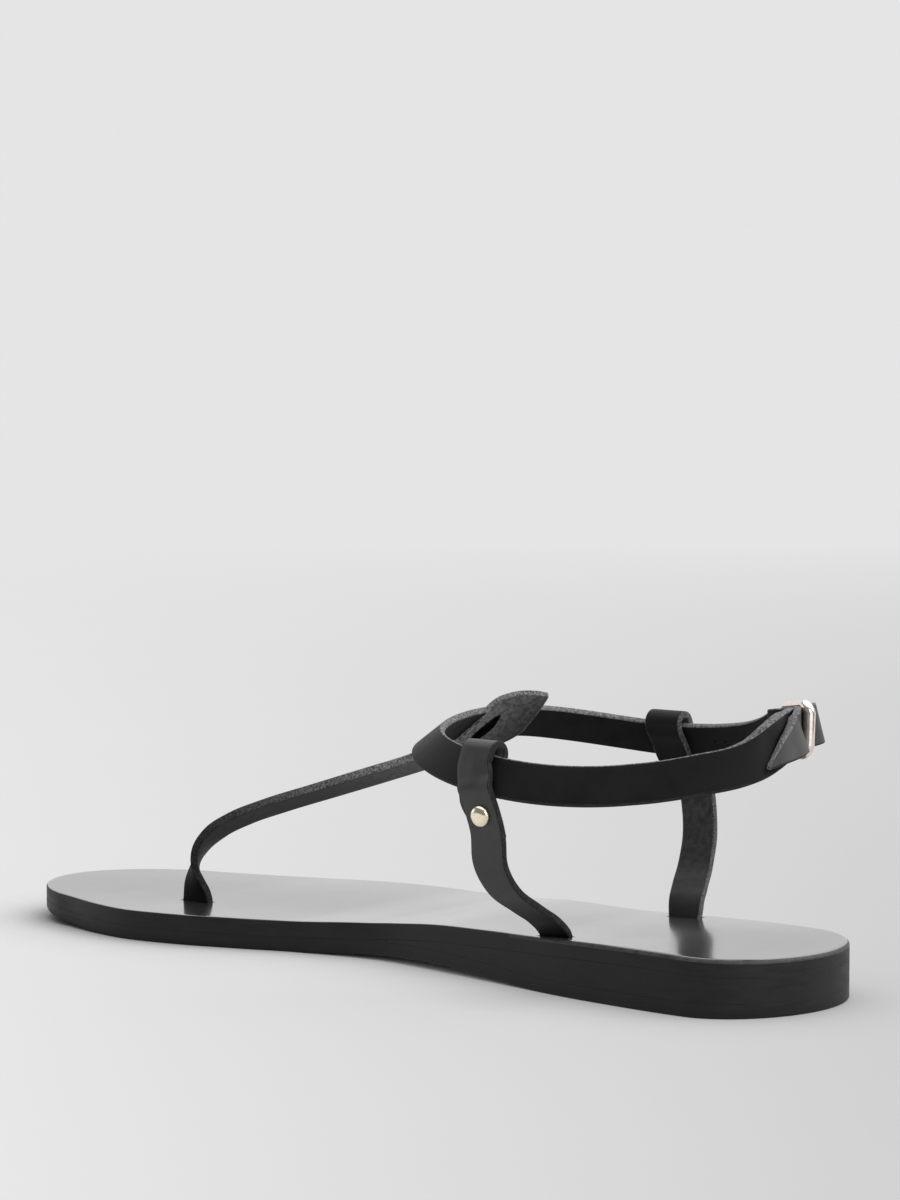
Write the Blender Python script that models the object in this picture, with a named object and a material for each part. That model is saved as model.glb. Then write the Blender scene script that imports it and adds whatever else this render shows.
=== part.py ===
"""Flat leather T-strap thong sandal for the right foot, standing empty on its sole.

The pieces are an outsole, a heel wedge, an insole with three strap slots, an upper of joined
straps (thong strap with a leaf-shaped end, two side straps and a buckled ankle strap), two
rivet caps and a prong buckle. Lengths in the tables are millimetres. X runs to the toe, Y to
the inner side of the foot and Z up. The tables measure Y from the axis of the heel.
"""
import math
from collections import namedtuple

import bmesh
import bpy
import numpy as np
from mathutils import Vector

MM = 0.001
FIT = 0.3                       # clearance between neighbouring pieces

# Sole
SOLE_LENGTH = 250.0
BALL_WIDTH = 79.4
OUTSOLE_THICKNESS = 3.2
INSOLE_THICKNESS = 4.2
FULL_SOLE = 7.6                 # where the sole is thinner than this, the insole thins with it
WEDGE_FRONT_THICKNESS = 0.5     # the heel wedge ends where it gets thinner than this
HEEL_ROUND = 20.0               # length of the rounded heel end
TOE_ROUND = 22.0                # length of the rounded toe end
SOLE_STATIONS = 49
EDGE_CHAMFER = 0.5              # softened top rim of the insole and foot of the outsole
SEAT_STEP = 0.4                 # length of the step in the outsole under the wedge's front edge

# Straps
LEATHER = 2.1                   # thickness of the thong strap and the side straps
BAND_LEATHER = 1.7              # thickness of the ankle strap
BAND_WIDTH = 9.7                # ankle strap
SIDE_STRAP_WIDTH = 9.0
EMBED = 0.5                     # how far joined straps sink into each other
SLOT_DEPTH = 3.6                # how far a strap's end reaches down into its slot
SLOT_EASE = 0.4                 # extra width of a slot, for the slope of the strap in it
JOIN_RISE = 0.4                 # the side straps meet the ankle strap this far above its lower edge
LAYER_GAP = 0.25                # between the two layers of a folded strap
RIVET_DROP = 9.8                # rivet, below the ankle strap's middle
RIVET_RADIUS = 2.6
RIVET_HEIGHT = 1.5
RIVET_PROFILE = [(0.92, 0.0), (1.0, 0.25), (0.9, 0.58), (0.6, 0.88)]   # shares of radius and height

# Ankle strap: an egg-shaped ring, wider in front, with its front and back raised
RING_MIDDLE = (-69.5, 0.5)
RING_HALF_LENGTH = 50.5
RING_HALF_WIDTH = 36.5
RING_EGG = 0.37
RING_TURN = -5.6                # degrees about Z
RING_START = 240                # degrees from the front bar round the ankle to the near bar
RING_END = 555
RING_SPACING = 5
RING_HEIGHT = 58.3
RING_RISE_FRONT = -0.9
RING_RISE_INNER = -2.05
RING_SADDLE = 4.0
RING_SKEW = 2.4
BAND_LEAN = 26.3                # degrees that the strap's top leans inward
BAND_LEAN_FRONT = 8.9
BAND_LEAN_ENDS = 1.6
INSTEP_ANGLE = 25.0             # here the strap lies flatter, where it turns over the instep
INSTEP_LEAN = 17.0
INSTEP_FALL = 1.5

# Centre-bar buckle, at the back of the outer side
NEAR_BAR_ANGLE = 203.0          # end bar that holds the free end down on the strap
FRONT_BAR_ANGLE = 228.0         # end bar that the prong's tip rests on
CENTRE_SHARE = 0.48             # place of the centre bar between the two
BAR_OUT = 2.15                  # the bars stand this far outside the ankle strap's middle
STRAP_SINK = 2.0                # the strap bends this far inward under the near bar
SINK_START = 160.0
BUCKLE_ROD = 0.8                # radius of the frame's rod
BUCKLE_HALF_HEIGHT = 6.2        # to the middle of the rod
BUCKLE_CORNER = 2.2
CENTRE_ROD = BUCKLE_ROD * 0.96   # the centre bar is a little thinner
PRONG_ROD = 0.7
PRONG_BOW = 0.5                 # the prong's middle stands this far out
PRONG_SLOT_WIDTH = 2.2
PRONG_SLOT_ENDS = 1.5           # the slot is longer than the prong at each end
PRONG_SLOT_DEPTH = 1.3          # and deeper than its radius
PRONG_SLOT_BACK = 0.6           # its middle lies towards the centre bar and outward
PRONG_SLOT_OUT = 0.25
# From a bar's middle to the middle of a strap that passes it
BAR_CLEARANCE = BUCKLE_ROD + FIT + BAND_LEATHER / 2
BAND_LAYER = BAND_LEATHER + LAYER_GAP
# Share of the frame's length from the near bar, and height over the bars
BuckleRow = namedtuple("BuckleRow", "share height")
FREE_END_ROWS = [               # from under the front bar, over the centre bar and under the near bar
    BuckleRow(1.00, -2.35),
    BuckleRow(0.78, 0.6),
    BuckleRow(0.64, 3.2),
    BuckleRow(0.48, 3.95),
    BuckleRow(0.32, 3.1),
    BuckleRow(0.20, 0.4),
    BuckleRow(0.00, -2.30),
]
# Slanted tip of the free end, lying on the strap
TIP_ANGLE = 155
TIP_WIDTH = 1.4
TIP_LIFT = 0.15
TIP_FULL_ANGLE = 199            # the free end has its full width from here

SoleRow = namedtuple("SoleRow", "along centre width")
SOLE_ROWS = [                   # fractions of the length, ball width and ball width
    SoleRow(0.000, -0.022, 0.680),
    SoleRow(0.100, -0.013, 0.690),
    SoleRow(0.200, -0.022, 0.672),
    SoleRow(0.300, -0.054, 0.645),
    SoleRow(0.400, -0.117, 0.675),
    SoleRow(0.500, -0.184, 0.731),
    SoleRow(0.600, -0.209, 0.889),
    SoleRow(0.660, -0.181, 0.967),
    SoleRow(0.720, -0.136, 1.000),
    SoleRow(0.780, -0.088, 0.972),
    SoleRow(0.840, -0.052, 0.874),
    SoleRow(0.900, -0.030, 0.742),
    SoleRow(0.950, -0.013, 0.650),
    SoleRow(1.000, 0.004, 0.580),
]

HeightRow = namedtuple("HeightRow", "along lift thickness")
HEIGHT_ROWS = [                 # lift of the sole's underside and thickness of the whole sole
    HeightRow(0.000, 0.0, 13.5),
    HeightRow(0.120, 0.0, 14.2),
    HeightRow(0.200, 0.0, 13.9),
    HeightRow(0.260, 0.0, 13.3),
    HeightRow(0.340, 1.1, 11.5),
    HeightRow(0.420, 1.8, 9.8),
    HeightRow(0.480, 1.5, 8.6),
    HeightRow(0.520, 1.1, 8.1),
    HeightRow(0.620, 0.0, 7.9),
    HeightRow(0.780, 0.0, 7.8),
    HeightRow(0.860, 0.5, 7.6),
    HeightRow(0.928, 1.8, 6.8),
    HeightRow(1.000, 4.0, 5.2),
]

# Thong strap: yaw turns its width from along the foot to across it, roll lifts its inner edge
StrapRow = namedtuple("StrapRow", "x y z yaw roll width")
THONG_ROWS = [
    StrapRow(69.6, 8.0, 7.8, 0, 0, 9.4),
    StrapRow(70.4, 8.1, 12.6, 18, 0, 9.0),
    StrapRow(70.2, 8.1, 17.2, 46, 0, 8.4),
    StrapRow(68.3, 7.8, 21.8, 66, 4, 8.2),
    StrapRow(64.0, 7.1, 26.2, 80, 9, 8.4),
    StrapRow(56.0, 5.9, 30.6, 88, 13, 8.6),
    StrapRow(45.6, 4.3, 34.5, 90, 15, 8.8),
    StrapRow(30.0, 1.9, 39.5, 90, 15, 9.0),
    StrapRow(14.6, -0.4, 44.4, 90, 15, 9.2),
    StrapRow(1.0, -2.5, 48.8, 90, 14, 9.4),
    StrapRow(-9.0, -4.2, 52.2, 90, 12, 9.6),
    StrapRow(-15.2, -5.3, 55.4, 92, 12, 10.0),
    StrapRow(-19.9, -7.4, 59.7, 95, 16, 11.6),
    StrapRow(-25.6, -10.0, 63.6, 96, 20, 11.4),
    StrapRow(-30.0, -11.8, 66.0, 96, 20, 7.0),
    StrapRow(-33.0, -12.8, 67.2, 96, 20, 1.6),
]

# Side straps, from the insole up to where they pass outside the ankle strap
RouteRow = namedtuple("RouteRow", "x y z")
# ring_angle is where the strap turns over the ankle strap; slant is degrees of the ring for each mm
# below SLANT_TOP; inner_end is how far the inner layer ends below the ankle strap's middle
SLANT_TOP = 1.2
SideStrap = namedtuple("SideStrap", "name ring_angle slant inner_end rows")
SIDE_STRAPS = [
    SideStrap("medial", 75.6, 0.48, 16.0, [
        RouteRow(-62.4, 19.2, 13.9),
        RouteRow(-62.0, 22.0, 16.8),
        RouteRow(-60.6, 27.4, 20.0),
        RouteRow(-58.4, 33.8, 24.0),
        RouteRow(-57.8, 38.6, 31.0),
        RouteRow(-58.4, 40.2, 40.0),
    ]),
    SideStrap("lateral", 294.5, -0.35, 13.5, [
        RouteRow(-69.0, -22.8, 14.0),
        RouteRow(-67.6, -25.0, 16.8),
        RouteRow(-64.4, -30.6, 20.0),
        RouteRow(-60.6, -38.0, 24.6),
        RouteRow(-58.6, -42.4, 31.0),
        RouteRow(-57.2, -43.6, 40.0),
    ]),
]

# Colours from the photograph, as linear RGB
BLACK_LEATHER = (0.012, 0.012, 0.013)
BLACK_INSOLE = (0.008, 0.008, 0.009)
BLACK_EDGE = (0.017, 0.017, 0.018)
PALE_GOLD = (0.83, 0.64, 0.47)


def clear_scene():
    for item in list(bpy.data.objects):
        bpy.data.objects.remove(item, do_unlink=True)


def material(name, colour, roughness, metallic=0.0):
    made = bpy.data.materials.new(name)
    made.use_nodes = True
    shader = made.node_tree.nodes["Principled BSDF"]
    shader.inputs["Base Color"].default_value = (*colour, 1.0)
    shader.inputs["Roughness"].default_value = roughness
    shader.inputs["Metallic"].default_value = metallic
    made.diffuse_color = (*colour, 1.0)
    return made


def add_object(name, points_mm, faces, finish=None, parent=None):
    """Object with the given mesh, faces turned outward; points come in millimetres."""
    mesh = bpy.data.meshes.new(name)
    mesh.from_pydata([tuple(float(v) * MM for v in point) for point in points_mm], [], faces)
    shape = bmesh.new()
    shape.from_mesh(mesh)
    bmesh.ops.recalc_face_normals(shape, faces=shape.faces)
    shape.to_mesh(mesh)
    shape.free()
    if finish:
        mesh.materials.append(finish)
    item = bpy.data.objects.new(name, mesh)
    bpy.context.scene.collection.objects.link(item)
    item.parent = parent
    return item


def as_cutter(item):
    item.hide_render = True
    item.display_type = 'WIRE'
    return item


def boolean(item, other, operation):
    step = item.modifiers.new(other.name, 'BOOLEAN')
    step.operation = operation
    step.object = other
    step.solver = 'EXACT'


def monotone(table, column, where):
    """Value of one table column at a fraction of the length, by monotone cubic interpolation."""
    xs = np.array([row.along for row in table])
    ys = np.array([getattr(row, column) for row in table])
    gaps = np.diff(xs)
    slopes = np.diff(ys) / gaps
    tangents = np.zeros(len(xs))
    for i in range(1, len(xs) - 1):
        if slopes[i - 1] * slopes[i] > 0:
            before = 2 * gaps[i] + gaps[i - 1]
            after = gaps[i] + 2 * gaps[i - 1]
            tangents[i] = (before + after) / (before / slopes[i - 1] + after / slopes[i])
    tangents[0] = slopes[0]
    tangents[-1] = slopes[-1]
    i = int(np.clip(np.searchsorted(xs, where) - 1, 0, len(gaps) - 1))
    t = (where - xs[i]) / gaps[i]
    return ((1 + 2 * t) * (1 - t) ** 2 * ys[i] + t * (1 - t) ** 2 * gaps[i] * tangents[i]
            + t * t * (3 - 2 * t) * ys[i + 1] + t * t * (t - 1) * gaps[i] * tangents[i + 1])


def sole_x(along):
    return (along - 0.5) * SOLE_LENGTH


def underside(along):
    return monotone(HEIGHT_ROWS, "lift", along)


def footbed(along):
    """Height of the insole's top above the floor."""
    return underside(along) + monotone(HEIGHT_ROWS, "thickness", along)


def insole_bottom(along):
    thinned = min(1.0, monotone(HEIGHT_ROWS, "thickness", along) / FULL_SOLE)
    return footbed(along) - INSOLE_THICKNESS * thinned


def wedge_thickness(along):
    return insole_bottom(along) - underside(along) - OUTSOLE_THICKNESS - 2 * FIT


def wedge_front():
    """Fraction of the length where the heel wedge has thinned to its front edge."""
    behind, ahead = 0.3, 0.6
    for _ in range(40):
        middle = (behind + ahead) / 2
        if wedge_thickness(middle) > WEDGE_FRONT_THICKNESS:
            behind = middle
        else:
            ahead = middle
    return behind


def half_width(along):
    """Half the sole's width, with rounded heel and toe ends."""
    full = monotone(SOLE_ROWS, "width", along) * BALL_WIDTH / 2
    from_heel = along * SOLE_LENGTH
    from_toe = (1 - along) * SOLE_LENGTH
    for distance, length in ((from_heel, HEEL_ROUND), (from_toe, TOE_ROUND)):
        if distance < length:
            full *= math.sqrt(max(0.0, 1 - ((length - distance) / length) ** 2))
    return full


def outline_stations(end=1.0):
    """Fractions of the length, closer together at the round ends; a blunt end stops at `end`."""
    spread = [0.5 - 0.5 * math.cos(math.pi * k / (SOLE_STATIONS - 1)) for k in range(SOLE_STATIONS)]
    kept = [along for along in spread if along < end - 0.004]
    return kept + [end]


def sole_loop(stations, inset):
    """Outline from the heel along the inner side to the toe and back along the outer side."""
    centres = [monotone(SOLE_ROWS, "centre", a) * BALL_WIDTH for a in stations]
    halves = [half_width(a) for a in stations]
    inner = [Vector((sole_x(a), c + h)) for a, c, h in zip(stations, centres, halves)]
    outer = [Vector((sole_x(a), c - h)) for a, c, h in zip(stations, centres, halves)]
    blunt = halves[-1] > 0.01
    loop = inner + (outer[:0:-1] if blunt else outer[-2:0:-1])
    count = len(loop)
    moved = []
    for k in range(count):
        run = loop[(k + 1) % count] - loop[k - 1]
        inward = Vector((run.y, -run.x)).normalized()
        moved.append(loop[k] + inward * inset)
    return moved, blunt


def sole_layer(name, stations, levels, finish, parent):
    """Closed layer of the sole; each level gives a height function and how far it is set in."""
    points = []
    faces = []
    count = 0
    for height, inset in levels:
        loop, blunt = sole_loop(stations, inset)
        count = len(loop)
        along_index = list(range(len(stations)))
        back = along_index[:0:-1] if blunt else along_index[-2:0:-1]
        for point, k in zip(loop, along_index + back):
            points.append((point.x, point.y, height(stations[k])))
    for level in range(len(levels) - 1):
        low = level * count
        high = low + count
        for k in range(count):
            nxt = (k + 1) % count
            faces.append((low + k, low + nxt, high + nxt, high + k))
    last = len(stations) - 1
    for base in (0, (len(levels) - 1) * count):
        for k in range(last):
            ring = [k, k + 1, count - k - 1, count - k]
            corners = []
            for corner in (base + value % count for value in ring):
                if corner not in corners:
                    corners.append(corner)
            faces.append(corners)
    return add_object(name, points, faces, finish, parent)


def smooth_rows(rows, steps):
    """Rows of numbers joined by a smooth curve, with `steps` stations to each stretch."""
    data = np.array(rows, dtype=float)
    reach = np.linalg.norm(np.diff(data[:, :3], axis=0), axis=1)
    knots = np.concatenate([[0.0], np.cumsum(reach)])
    tangents = np.gradient(data, knots, axis=0)
    stations = []
    for i, gap in enumerate(reach):
        for t in (k / steps for k in range(steps)):
            stations.append((1 + 2 * t) * (1 - t) ** 2 * data[i] + t * (1 - t) ** 2 * gap * tangents[i]
                            + t * t * (3 - 2 * t) * data[i + 1] + t * t * (t - 1) * gap * tangents[i + 1])
    stations.append(data[-1])
    return stations


def strap(name, places, across, widths, thickness, parent):
    """Closed strip of leather along a route, with its width along the given directions."""
    places = [Vector(place) for place in places]
    points = []
    for k, place in enumerate(places):
        ahead = places[min(k + 1, len(places) - 1)]
        run = (ahead - places[max(k - 1, 0)]).normalized()
        side = Vector(across[k])
        side = (side - run * side.dot(run)).normalized()
        face = run.cross(side)
        for along_side, along_face in ((1, 1), (1, -1), (-1, -1), (-1, 1)):
            points.append(place + side * along_side * widths[k] / 2 + face * along_face * thickness / 2)
    faces = [(0, 1, 2, 3)]
    for k in range(len(places) - 1):
        for corner in range(4):
            nxt = (corner + 1) % 4
            faces.append((4 * k + corner, 4 * k + nxt, 4 * k + 4 + nxt, 4 * k + 4 + corner))
    end = 4 * len(places) - 4
    faces.append((end + 3, end + 2, end + 1, end))
    return add_object(name, points, faces, None, parent)


def instep_share(angle):
    """How much the ankle strap lies over at its turn on the instep: 1 there, 0 away from it."""
    return max(0.0, math.cos(math.radians(angle - INSTEP_ANGLE))) ** 6


def ring_place(angle):
    """Middle of the ankle strap at an angle in degrees: 0 in front, 90 on the inner side."""
    a = math.radians(angle)
    x = RING_HALF_LENGTH * math.cos(a)
    y = RING_HALF_WIDTH * math.sin(a) * (1 + RING_EGG * math.cos(a))
    turn = math.radians(RING_TURN)
    z = (RING_HEIGHT + RING_RISE_FRONT * math.cos(a) + RING_RISE_INNER * math.sin(a)
         + RING_SADDLE * math.cos(2 * a) + RING_SKEW * math.sin(2 * a) - INSTEP_FALL * instep_share(angle))
    return Vector((RING_MIDDLE[0] + x * math.cos(turn) - y * math.sin(turn),
                   RING_MIDDLE[1] + x * math.sin(turn) + y * math.cos(turn), z))


def ring_frame(angle):
    """Middle, direction up the band, outward normal and direction along the band."""
    step = 0.5
    run = ring_place(angle + step) - ring_place(angle - step)
    level = Vector((run.x, run.y, 0)).normalized()
    inward = Vector((-level.y, level.x, 0))
    a = math.radians(angle)
    lean = math.radians(BAND_LEAN + BAND_LEAN_FRONT * math.cos(a) + BAND_LEAN_ENDS * math.cos(2 * a)
                        + INSTEP_LEAN * instep_share(angle))
    up = inward * math.sin(lean) + Vector((0, 0, math.cos(lean)))
    outward = Vector((0, 0, math.sin(lean))) - inward * math.cos(lean)
    return ring_place(angle), up, outward, level


def ring_point(angle, out, rise=0.0):
    place, up, outward, _ = ring_frame(angle)
    return place + outward * out + up * rise


def buckle_axes():
    """Near bar's middle, front bar's middle, direction up the bars and outward normal."""
    near_bar = ring_point(NEAR_BAR_ANGLE, BAR_OUT)
    front_bar = ring_point(FRONT_BAR_ANGLE, BAR_OUT)
    run = (front_bar - near_bar).normalized()
    up = ring_frame((NEAR_BAR_ANGLE + FRONT_BAR_ANGLE) / 2)[1]
    up = (up - run * up.dot(run)).normalized()
    return near_bar, front_bar, up, run.cross(up)


def strap_sink(angle):
    """How far inward the strap has bent on its way to the buckle."""
    share = min(1.0, max(0.0, (angle - SINK_START) / (NEAR_BAR_ANGLE - SINK_START)))
    return STRAP_SINK * share * share * (3 - 2 * share)


def ankle_strap(parent):
    """Strap from the tip of its free end, through the buckle, round the ankle and round the centre bar."""
    near_bar, front_bar, bar_up, bar_out = buckle_axes()
    frame_run = (front_bar - near_bar).normalized()
    reach = (front_bar - near_bar).length
    places = []
    across = []
    widths = []

    def add(place, side, width=BAND_WIDTH):
        places.append(place)
        across.append(side)
        widths.append(width)

    tip_spacing = 4
    for angle in range(TIP_ANGLE, TIP_FULL_ANGLE, tip_spacing):
        share = (angle - TIP_ANGLE) / (TIP_FULL_ANGLE - TIP_ANGLE)
        width = TIP_WIDTH + (BAND_WIDTH - TIP_WIDTH) * share
        drop = (width - BAND_WIDTH) / 2
        add(ring_point(angle, BAND_LAYER + TIP_LIFT - strap_sink(angle), drop), ring_frame(angle)[1], width)
    for row in reversed(FREE_END_ROWS):
        add(near_bar + frame_run * reach * row.share + bar_out * row.height, bar_up)
    for angle in range(RING_START, RING_END, RING_SPACING):
        add(ring_point(angle, -strap_sink(angle - 360)), ring_frame(angle)[1])
    centre_bar = near_bar.lerp(front_bar, CENTRE_SHARE)
    add(near_bar - bar_out * (BAND_LAYER + BAR_CLEARANCE + 2 * FIT), bar_up)
    steps = 8
    for k in range(steps + 1):
        turn = math.pi * (k / steps - 0.5)
        swing = frame_run * math.cos(turn) + bar_out * math.sin(turn)
        add(centre_bar + swing * BAR_CLEARANCE, bar_up)
    return strap("ankle_strap", places, across, widths, BAND_LEATHER, parent)


def thong_strap(parent):
    """Strap from its slot between the toes, turned flat over the instep, with its leaf-shaped end."""
    root = THONG_ROWS[0]
    below = root._replace(z=root.z - SLOT_DEPTH)
    stations = smooth_rows([below] + THONG_ROWS, 3)
    places = [station[:3] for station in stations]
    across = []
    for k, station in enumerate(stations):
        ahead = Vector(places[min(k + 1, len(places) - 1)])
        run = (ahead - Vector(places[max(k - 1, 0)])).normalized()
        yaw = math.radians(station[3])
        side = Vector((math.cos(yaw), -math.sin(yaw), 0.0))
        side = (side - run * side.dot(run)).normalized()
        roll = math.radians(station[4])
        face = run.cross(side)
        if face.z < 0:
            face.negate()
        across.append(side * math.cos(roll) - face * math.sin(roll))
    return strap("thong_strap", places, across, [station[5] for station in stations], LEATHER, parent)


def side_strap(spec, parent):
    """Strap from its slot up outside the ankle strap, over it and down its inner side."""
    root = spec.rows[0]
    low = [root._replace(z=root.z - SLOT_DEPTH)] + spec.rows
    out = (LEATHER + BAND_LEATHER) / 2 - EMBED
    rim = BAND_WIDTH / 2

    def on_ring(out, rise):
        below = max(0.0, SLANT_TOP - rise) if out > 0 else 0.0
        return ring_point(spec.ring_angle + spec.slant * below, out, rise)

    join = on_ring(out, JOIN_RISE - rim)
    stations = smooth_rows([tuple(row) for row in low] + [tuple(join)], 3)
    places = [Vector(station) for station in stations]
    for rise in (-0.35 * rim, SLANT_TOP, 0.7 * rim):
        places.append(on_ring(out, rise))
    steps = 8
    for k in range(steps + 1):
        turn = math.pi * k / steps
        places.append(on_ring(out * math.cos(turn), rim + out * math.sin(turn)))
    for rise in (0.0, JOIN_RISE - rim):
        places.append(on_ring(-out, rise))
    outer = [Vector(station) for station in stations]
    inner_gap = LEATHER + LAYER_GAP
    inward = ring_frame(spec.ring_angle)[2] * -1
    for share in (0.56, 0.78, 1.0):
        level = ring_place(spec.ring_angle).z - share * spec.inner_end
        nearest = min(outer, key=lambda place: abs(place.z - level))
        below = outer[max(outer.index(nearest) - 1, 0)]
        run = (nearest - below).normalized()
        away = (inward - run * inward.dot(run)).normalized()
        places.append(nearest + away * inner_gap)
    along = ring_frame(spec.ring_angle)[3]
    forward = along if along.x > 0 else along * -1
    blend = len(stations)
    across = []
    for k in range(len(places)):
        share = min(1.0, k / blend)
        across.append(Vector((1, 0, 0)) * (1 - share) + forward * share)
    widths = [SIDE_STRAP_WIDTH] * len(places)
    strip = strap(f"side_strap_{spec.name}", places, across, widths, LEATHER, parent)
    level = ring_place(spec.ring_angle).z - RIVET_DROP
    k = min(range(1, len(stations) - 1), key=lambda i: abs(places[i].z - level))
    run = (places[k + 1] - places[k - 1]).normalized()
    side = (across[k] - run * across[k].dot(run)).normalized()
    face = run.cross(side)
    if face.dot(inward) > 0:
        face.negate()
    return strip, (places[k] + face * (LEATHER / 2 + FIT), run, side, face)


def box_cutter(name, middle, half_sizes, axes, parent):
    points = []
    for i in (-1, 1):
        for j in (-1, 1):
            for k in (-1, 1):
                offset = axes[0] * half_sizes[0] * i + axes[1] * half_sizes[1] * j
                offset += axes[2] * half_sizes[2] * k
                points.append(Vector(middle) + offset)
    faces = [(0, 1, 3, 2), (4, 6, 7, 5), (0, 4, 5, 1), (2, 3, 7, 6), (0, 2, 6, 4), (1, 5, 7, 3)]
    return as_cutter(add_object(name, points, faces, None, parent))


def rod(name, places, radius, closed, finish, parent, sides=10):
    """Round rod through the given places, closed to a ring or capped at both ends."""
    places = [Vector(place) for place in places]
    count = len(places)
    points = []
    reference = None
    for k, place in enumerate(places):
        ahead = places[(k + 1) % count] if closed else places[min(k + 1, count - 1)]
        behind = places[k - 1] if closed else places[max(k - 1, 0)]
        run = (ahead - behind).normalized()
        if reference is None:
            reference = run.orthogonal()
        reference = (reference - run * reference.dot(run)).normalized()
        other = run.cross(reference)
        for side in range(sides):
            turn = 2 * math.pi * side / sides
            points.append(place + reference * radius * math.cos(turn) + other * radius * math.sin(turn))
    faces = []
    for k in range(count if closed else count - 1):
        nxt = (k + 1) % count
        for side in range(sides):
            beside = (side + 1) % sides
            faces.append((k * sides + side, k * sides + beside, nxt * sides + beside, nxt * sides + side))
    if not closed:
        faces.append(tuple(range(sides)))
        faces.append(tuple(range((count - 1) * sides, count * sides)))
    item = add_object(name, points, faces, finish, parent)
    item.data.shade_smooth()
    return item


def buckle_frame(finish, parent):
    """Rounded rectangular frame with a bar across its middle."""
    near_bar, front_bar, up, _ = buckle_axes()
    middle = (near_bar + front_bar) / 2
    half_run = (front_bar - near_bar) / 2
    run = half_run.normalized()
    flat = half_run.length - BUCKLE_CORNER
    tall = BUCKLE_HALF_HEIGHT - BUCKLE_CORNER
    places = []
    steps = 5
    for quarter, (x, y) in enumerate(((flat, tall), (-flat, tall), (-flat, -tall), (flat, -tall))):
        for k in range(steps + 1):
            turn = math.pi / 2 * (quarter + k / steps)
            reach = Vector((x + BUCKLE_CORNER * math.cos(turn), y + BUCKLE_CORNER * math.sin(turn)))
            places.append(middle + run * reach.x + up * reach.y)
    frame = rod("buckle_frame", places, BUCKLE_ROD, True, finish, parent)
    centre_bar = near_bar.lerp(front_bar, CENTRE_SHARE)
    ends = [centre_bar - up * BUCKLE_HALF_HEIGHT, centre_bar + up * BUCKLE_HALF_HEIGHT]
    boolean(frame, as_cutter(rod("centre_bar", ends, CENTRE_ROD, False, None, parent)), 'UNION')


def prong_line():
    near_bar, front_bar, up, out = buckle_axes()
    centre_bar = near_bar.lerp(front_bar, CENTRE_SHARE)
    run = (front_bar - near_bar).normalized()
    seat = BUCKLE_ROD + FIT + PRONG_ROD
    return centre_bar + run * seat, front_bar + out * seat + run * BUCKLE_ROD, up, out


def buckle_prong(finish, parent):
    start, tip, _, out = prong_line()
    middle = start.lerp(tip, 0.5) + out * PRONG_BOW
    return rod("buckle_prong", [start, start.lerp(middle, 0.5), middle, middle.lerp(tip, 0.5), tip],
               PRONG_ROD, False, finish, parent)


def prong_slot(parent):
    """Opening through the folded strap and the free end, for the prong to lie in."""
    start, tip, up, out = prong_line()
    run = (tip - start).normalized()
    reach = (tip - start).length
    side = run.cross(up).normalized()
    half = (reach / 2 + PRONG_SLOT_ENDS, PRONG_SLOT_WIDTH / 2, PRONG_ROD + PRONG_SLOT_DEPTH)
    middle = start.lerp(tip, 0.5) - run * PRONG_SLOT_BACK + out * PRONG_SLOT_OUT
    return box_cutter("prong_slot", middle, half, (run, up, side), parent)


def rivet(name, seat, finish, parent):
    """Low domed cap on the outside of a side strap, below the ankle strap."""
    place, run, side, out = seat
    points = []
    sides = 20
    profile = [(RIVET_RADIUS * wide, RIVET_HEIGHT * high) for wide, high in RIVET_PROFILE]
    for radius, rise in profile:
        for s in range(sides):
            turn = 2 * math.pi * s / sides
            points.append(place + out * rise + side * radius * math.cos(turn) + run * radius * math.sin(turn))
    points.append(place + out * RIVET_HEIGHT)
    faces = [tuple(range(sides))]
    for level_index in range(len(profile) - 1):
        for s in range(sides):
            nxt = (s + 1) % sides
            base = level_index * sides
            faces.append((base + s, base + nxt, base + sides + nxt, base + sides + s))
    top = (len(profile) - 1) * sides
    for s in range(sides):
        faces.append((top + s, top + (s + 1) % sides, len(points) - 1))
    item = add_object(f"rivet_{name}", points, faces, finish, parent)
    item.data.shade_smooth()
    return item


def build_sole(parent):
    edge = material("painted_edge", BLACK_EDGE, 0.55)
    wedge_end = wedge_front()
    full = outline_stations()
    step = SEAT_STEP / SOLE_LENGTH
    stepped = sorted(full + [wedge_end, wedge_end + step])

    def outsole_top(along):
        if along <= wedge_end + step / 2:
            return underside(along) + OUTSOLE_THICKNESS
        return insole_bottom(along) - FIT

    def outsole_side(along):
        return underside(along) + EDGE_CHAMFER

    levels = [(underside, EDGE_CHAMFER), (outsole_side, 0.0), (outsole_top, 0.0)]
    sole_layer("outsole", stepped, levels, edge, parent)

    def wedge_bottom(along):
        return underside(along) + OUTSOLE_THICKNESS + FIT

    def wedge_top(along):
        return insole_bottom(along) - FIT

    levels = [(wedge_bottom, 0.0), (wedge_top, 0.0)]
    sole_layer("heel_wedge", outline_stations(wedge_end - step), levels, edge, parent)

    def insole_side(along):
        return footbed(along) - EDGE_CHAMFER

    finish = material("insole_leather", BLACK_INSOLE, 0.18)
    levels = [(insole_bottom, 0.0), (insole_side, 0.0), (footbed, EDGE_CHAMFER)]
    insole = sole_layer("insole", full, levels, finish, parent)
    roots = [("thong", THONG_ROWS[0], THONG_ROWS[0].width)]
    roots += [(spec.name, spec.rows[0], SIDE_STRAP_WIDTH) for spec in SIDE_STRAPS]
    axes = (Vector((1, 0, 0)), Vector((0, 1, 0)), Vector((0, 0, 1)))
    for name, root, width in roots:
        half = (width / 2 + FIT, LEATHER / 2 + FIT + SLOT_EASE, INSOLE_THICKNESS)
        slot = box_cutter(f"slot_{name}", (root.x, root.y, root.z), half, axes, parent)
        boolean(insole, slot, 'DIFFERENCE')


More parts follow.
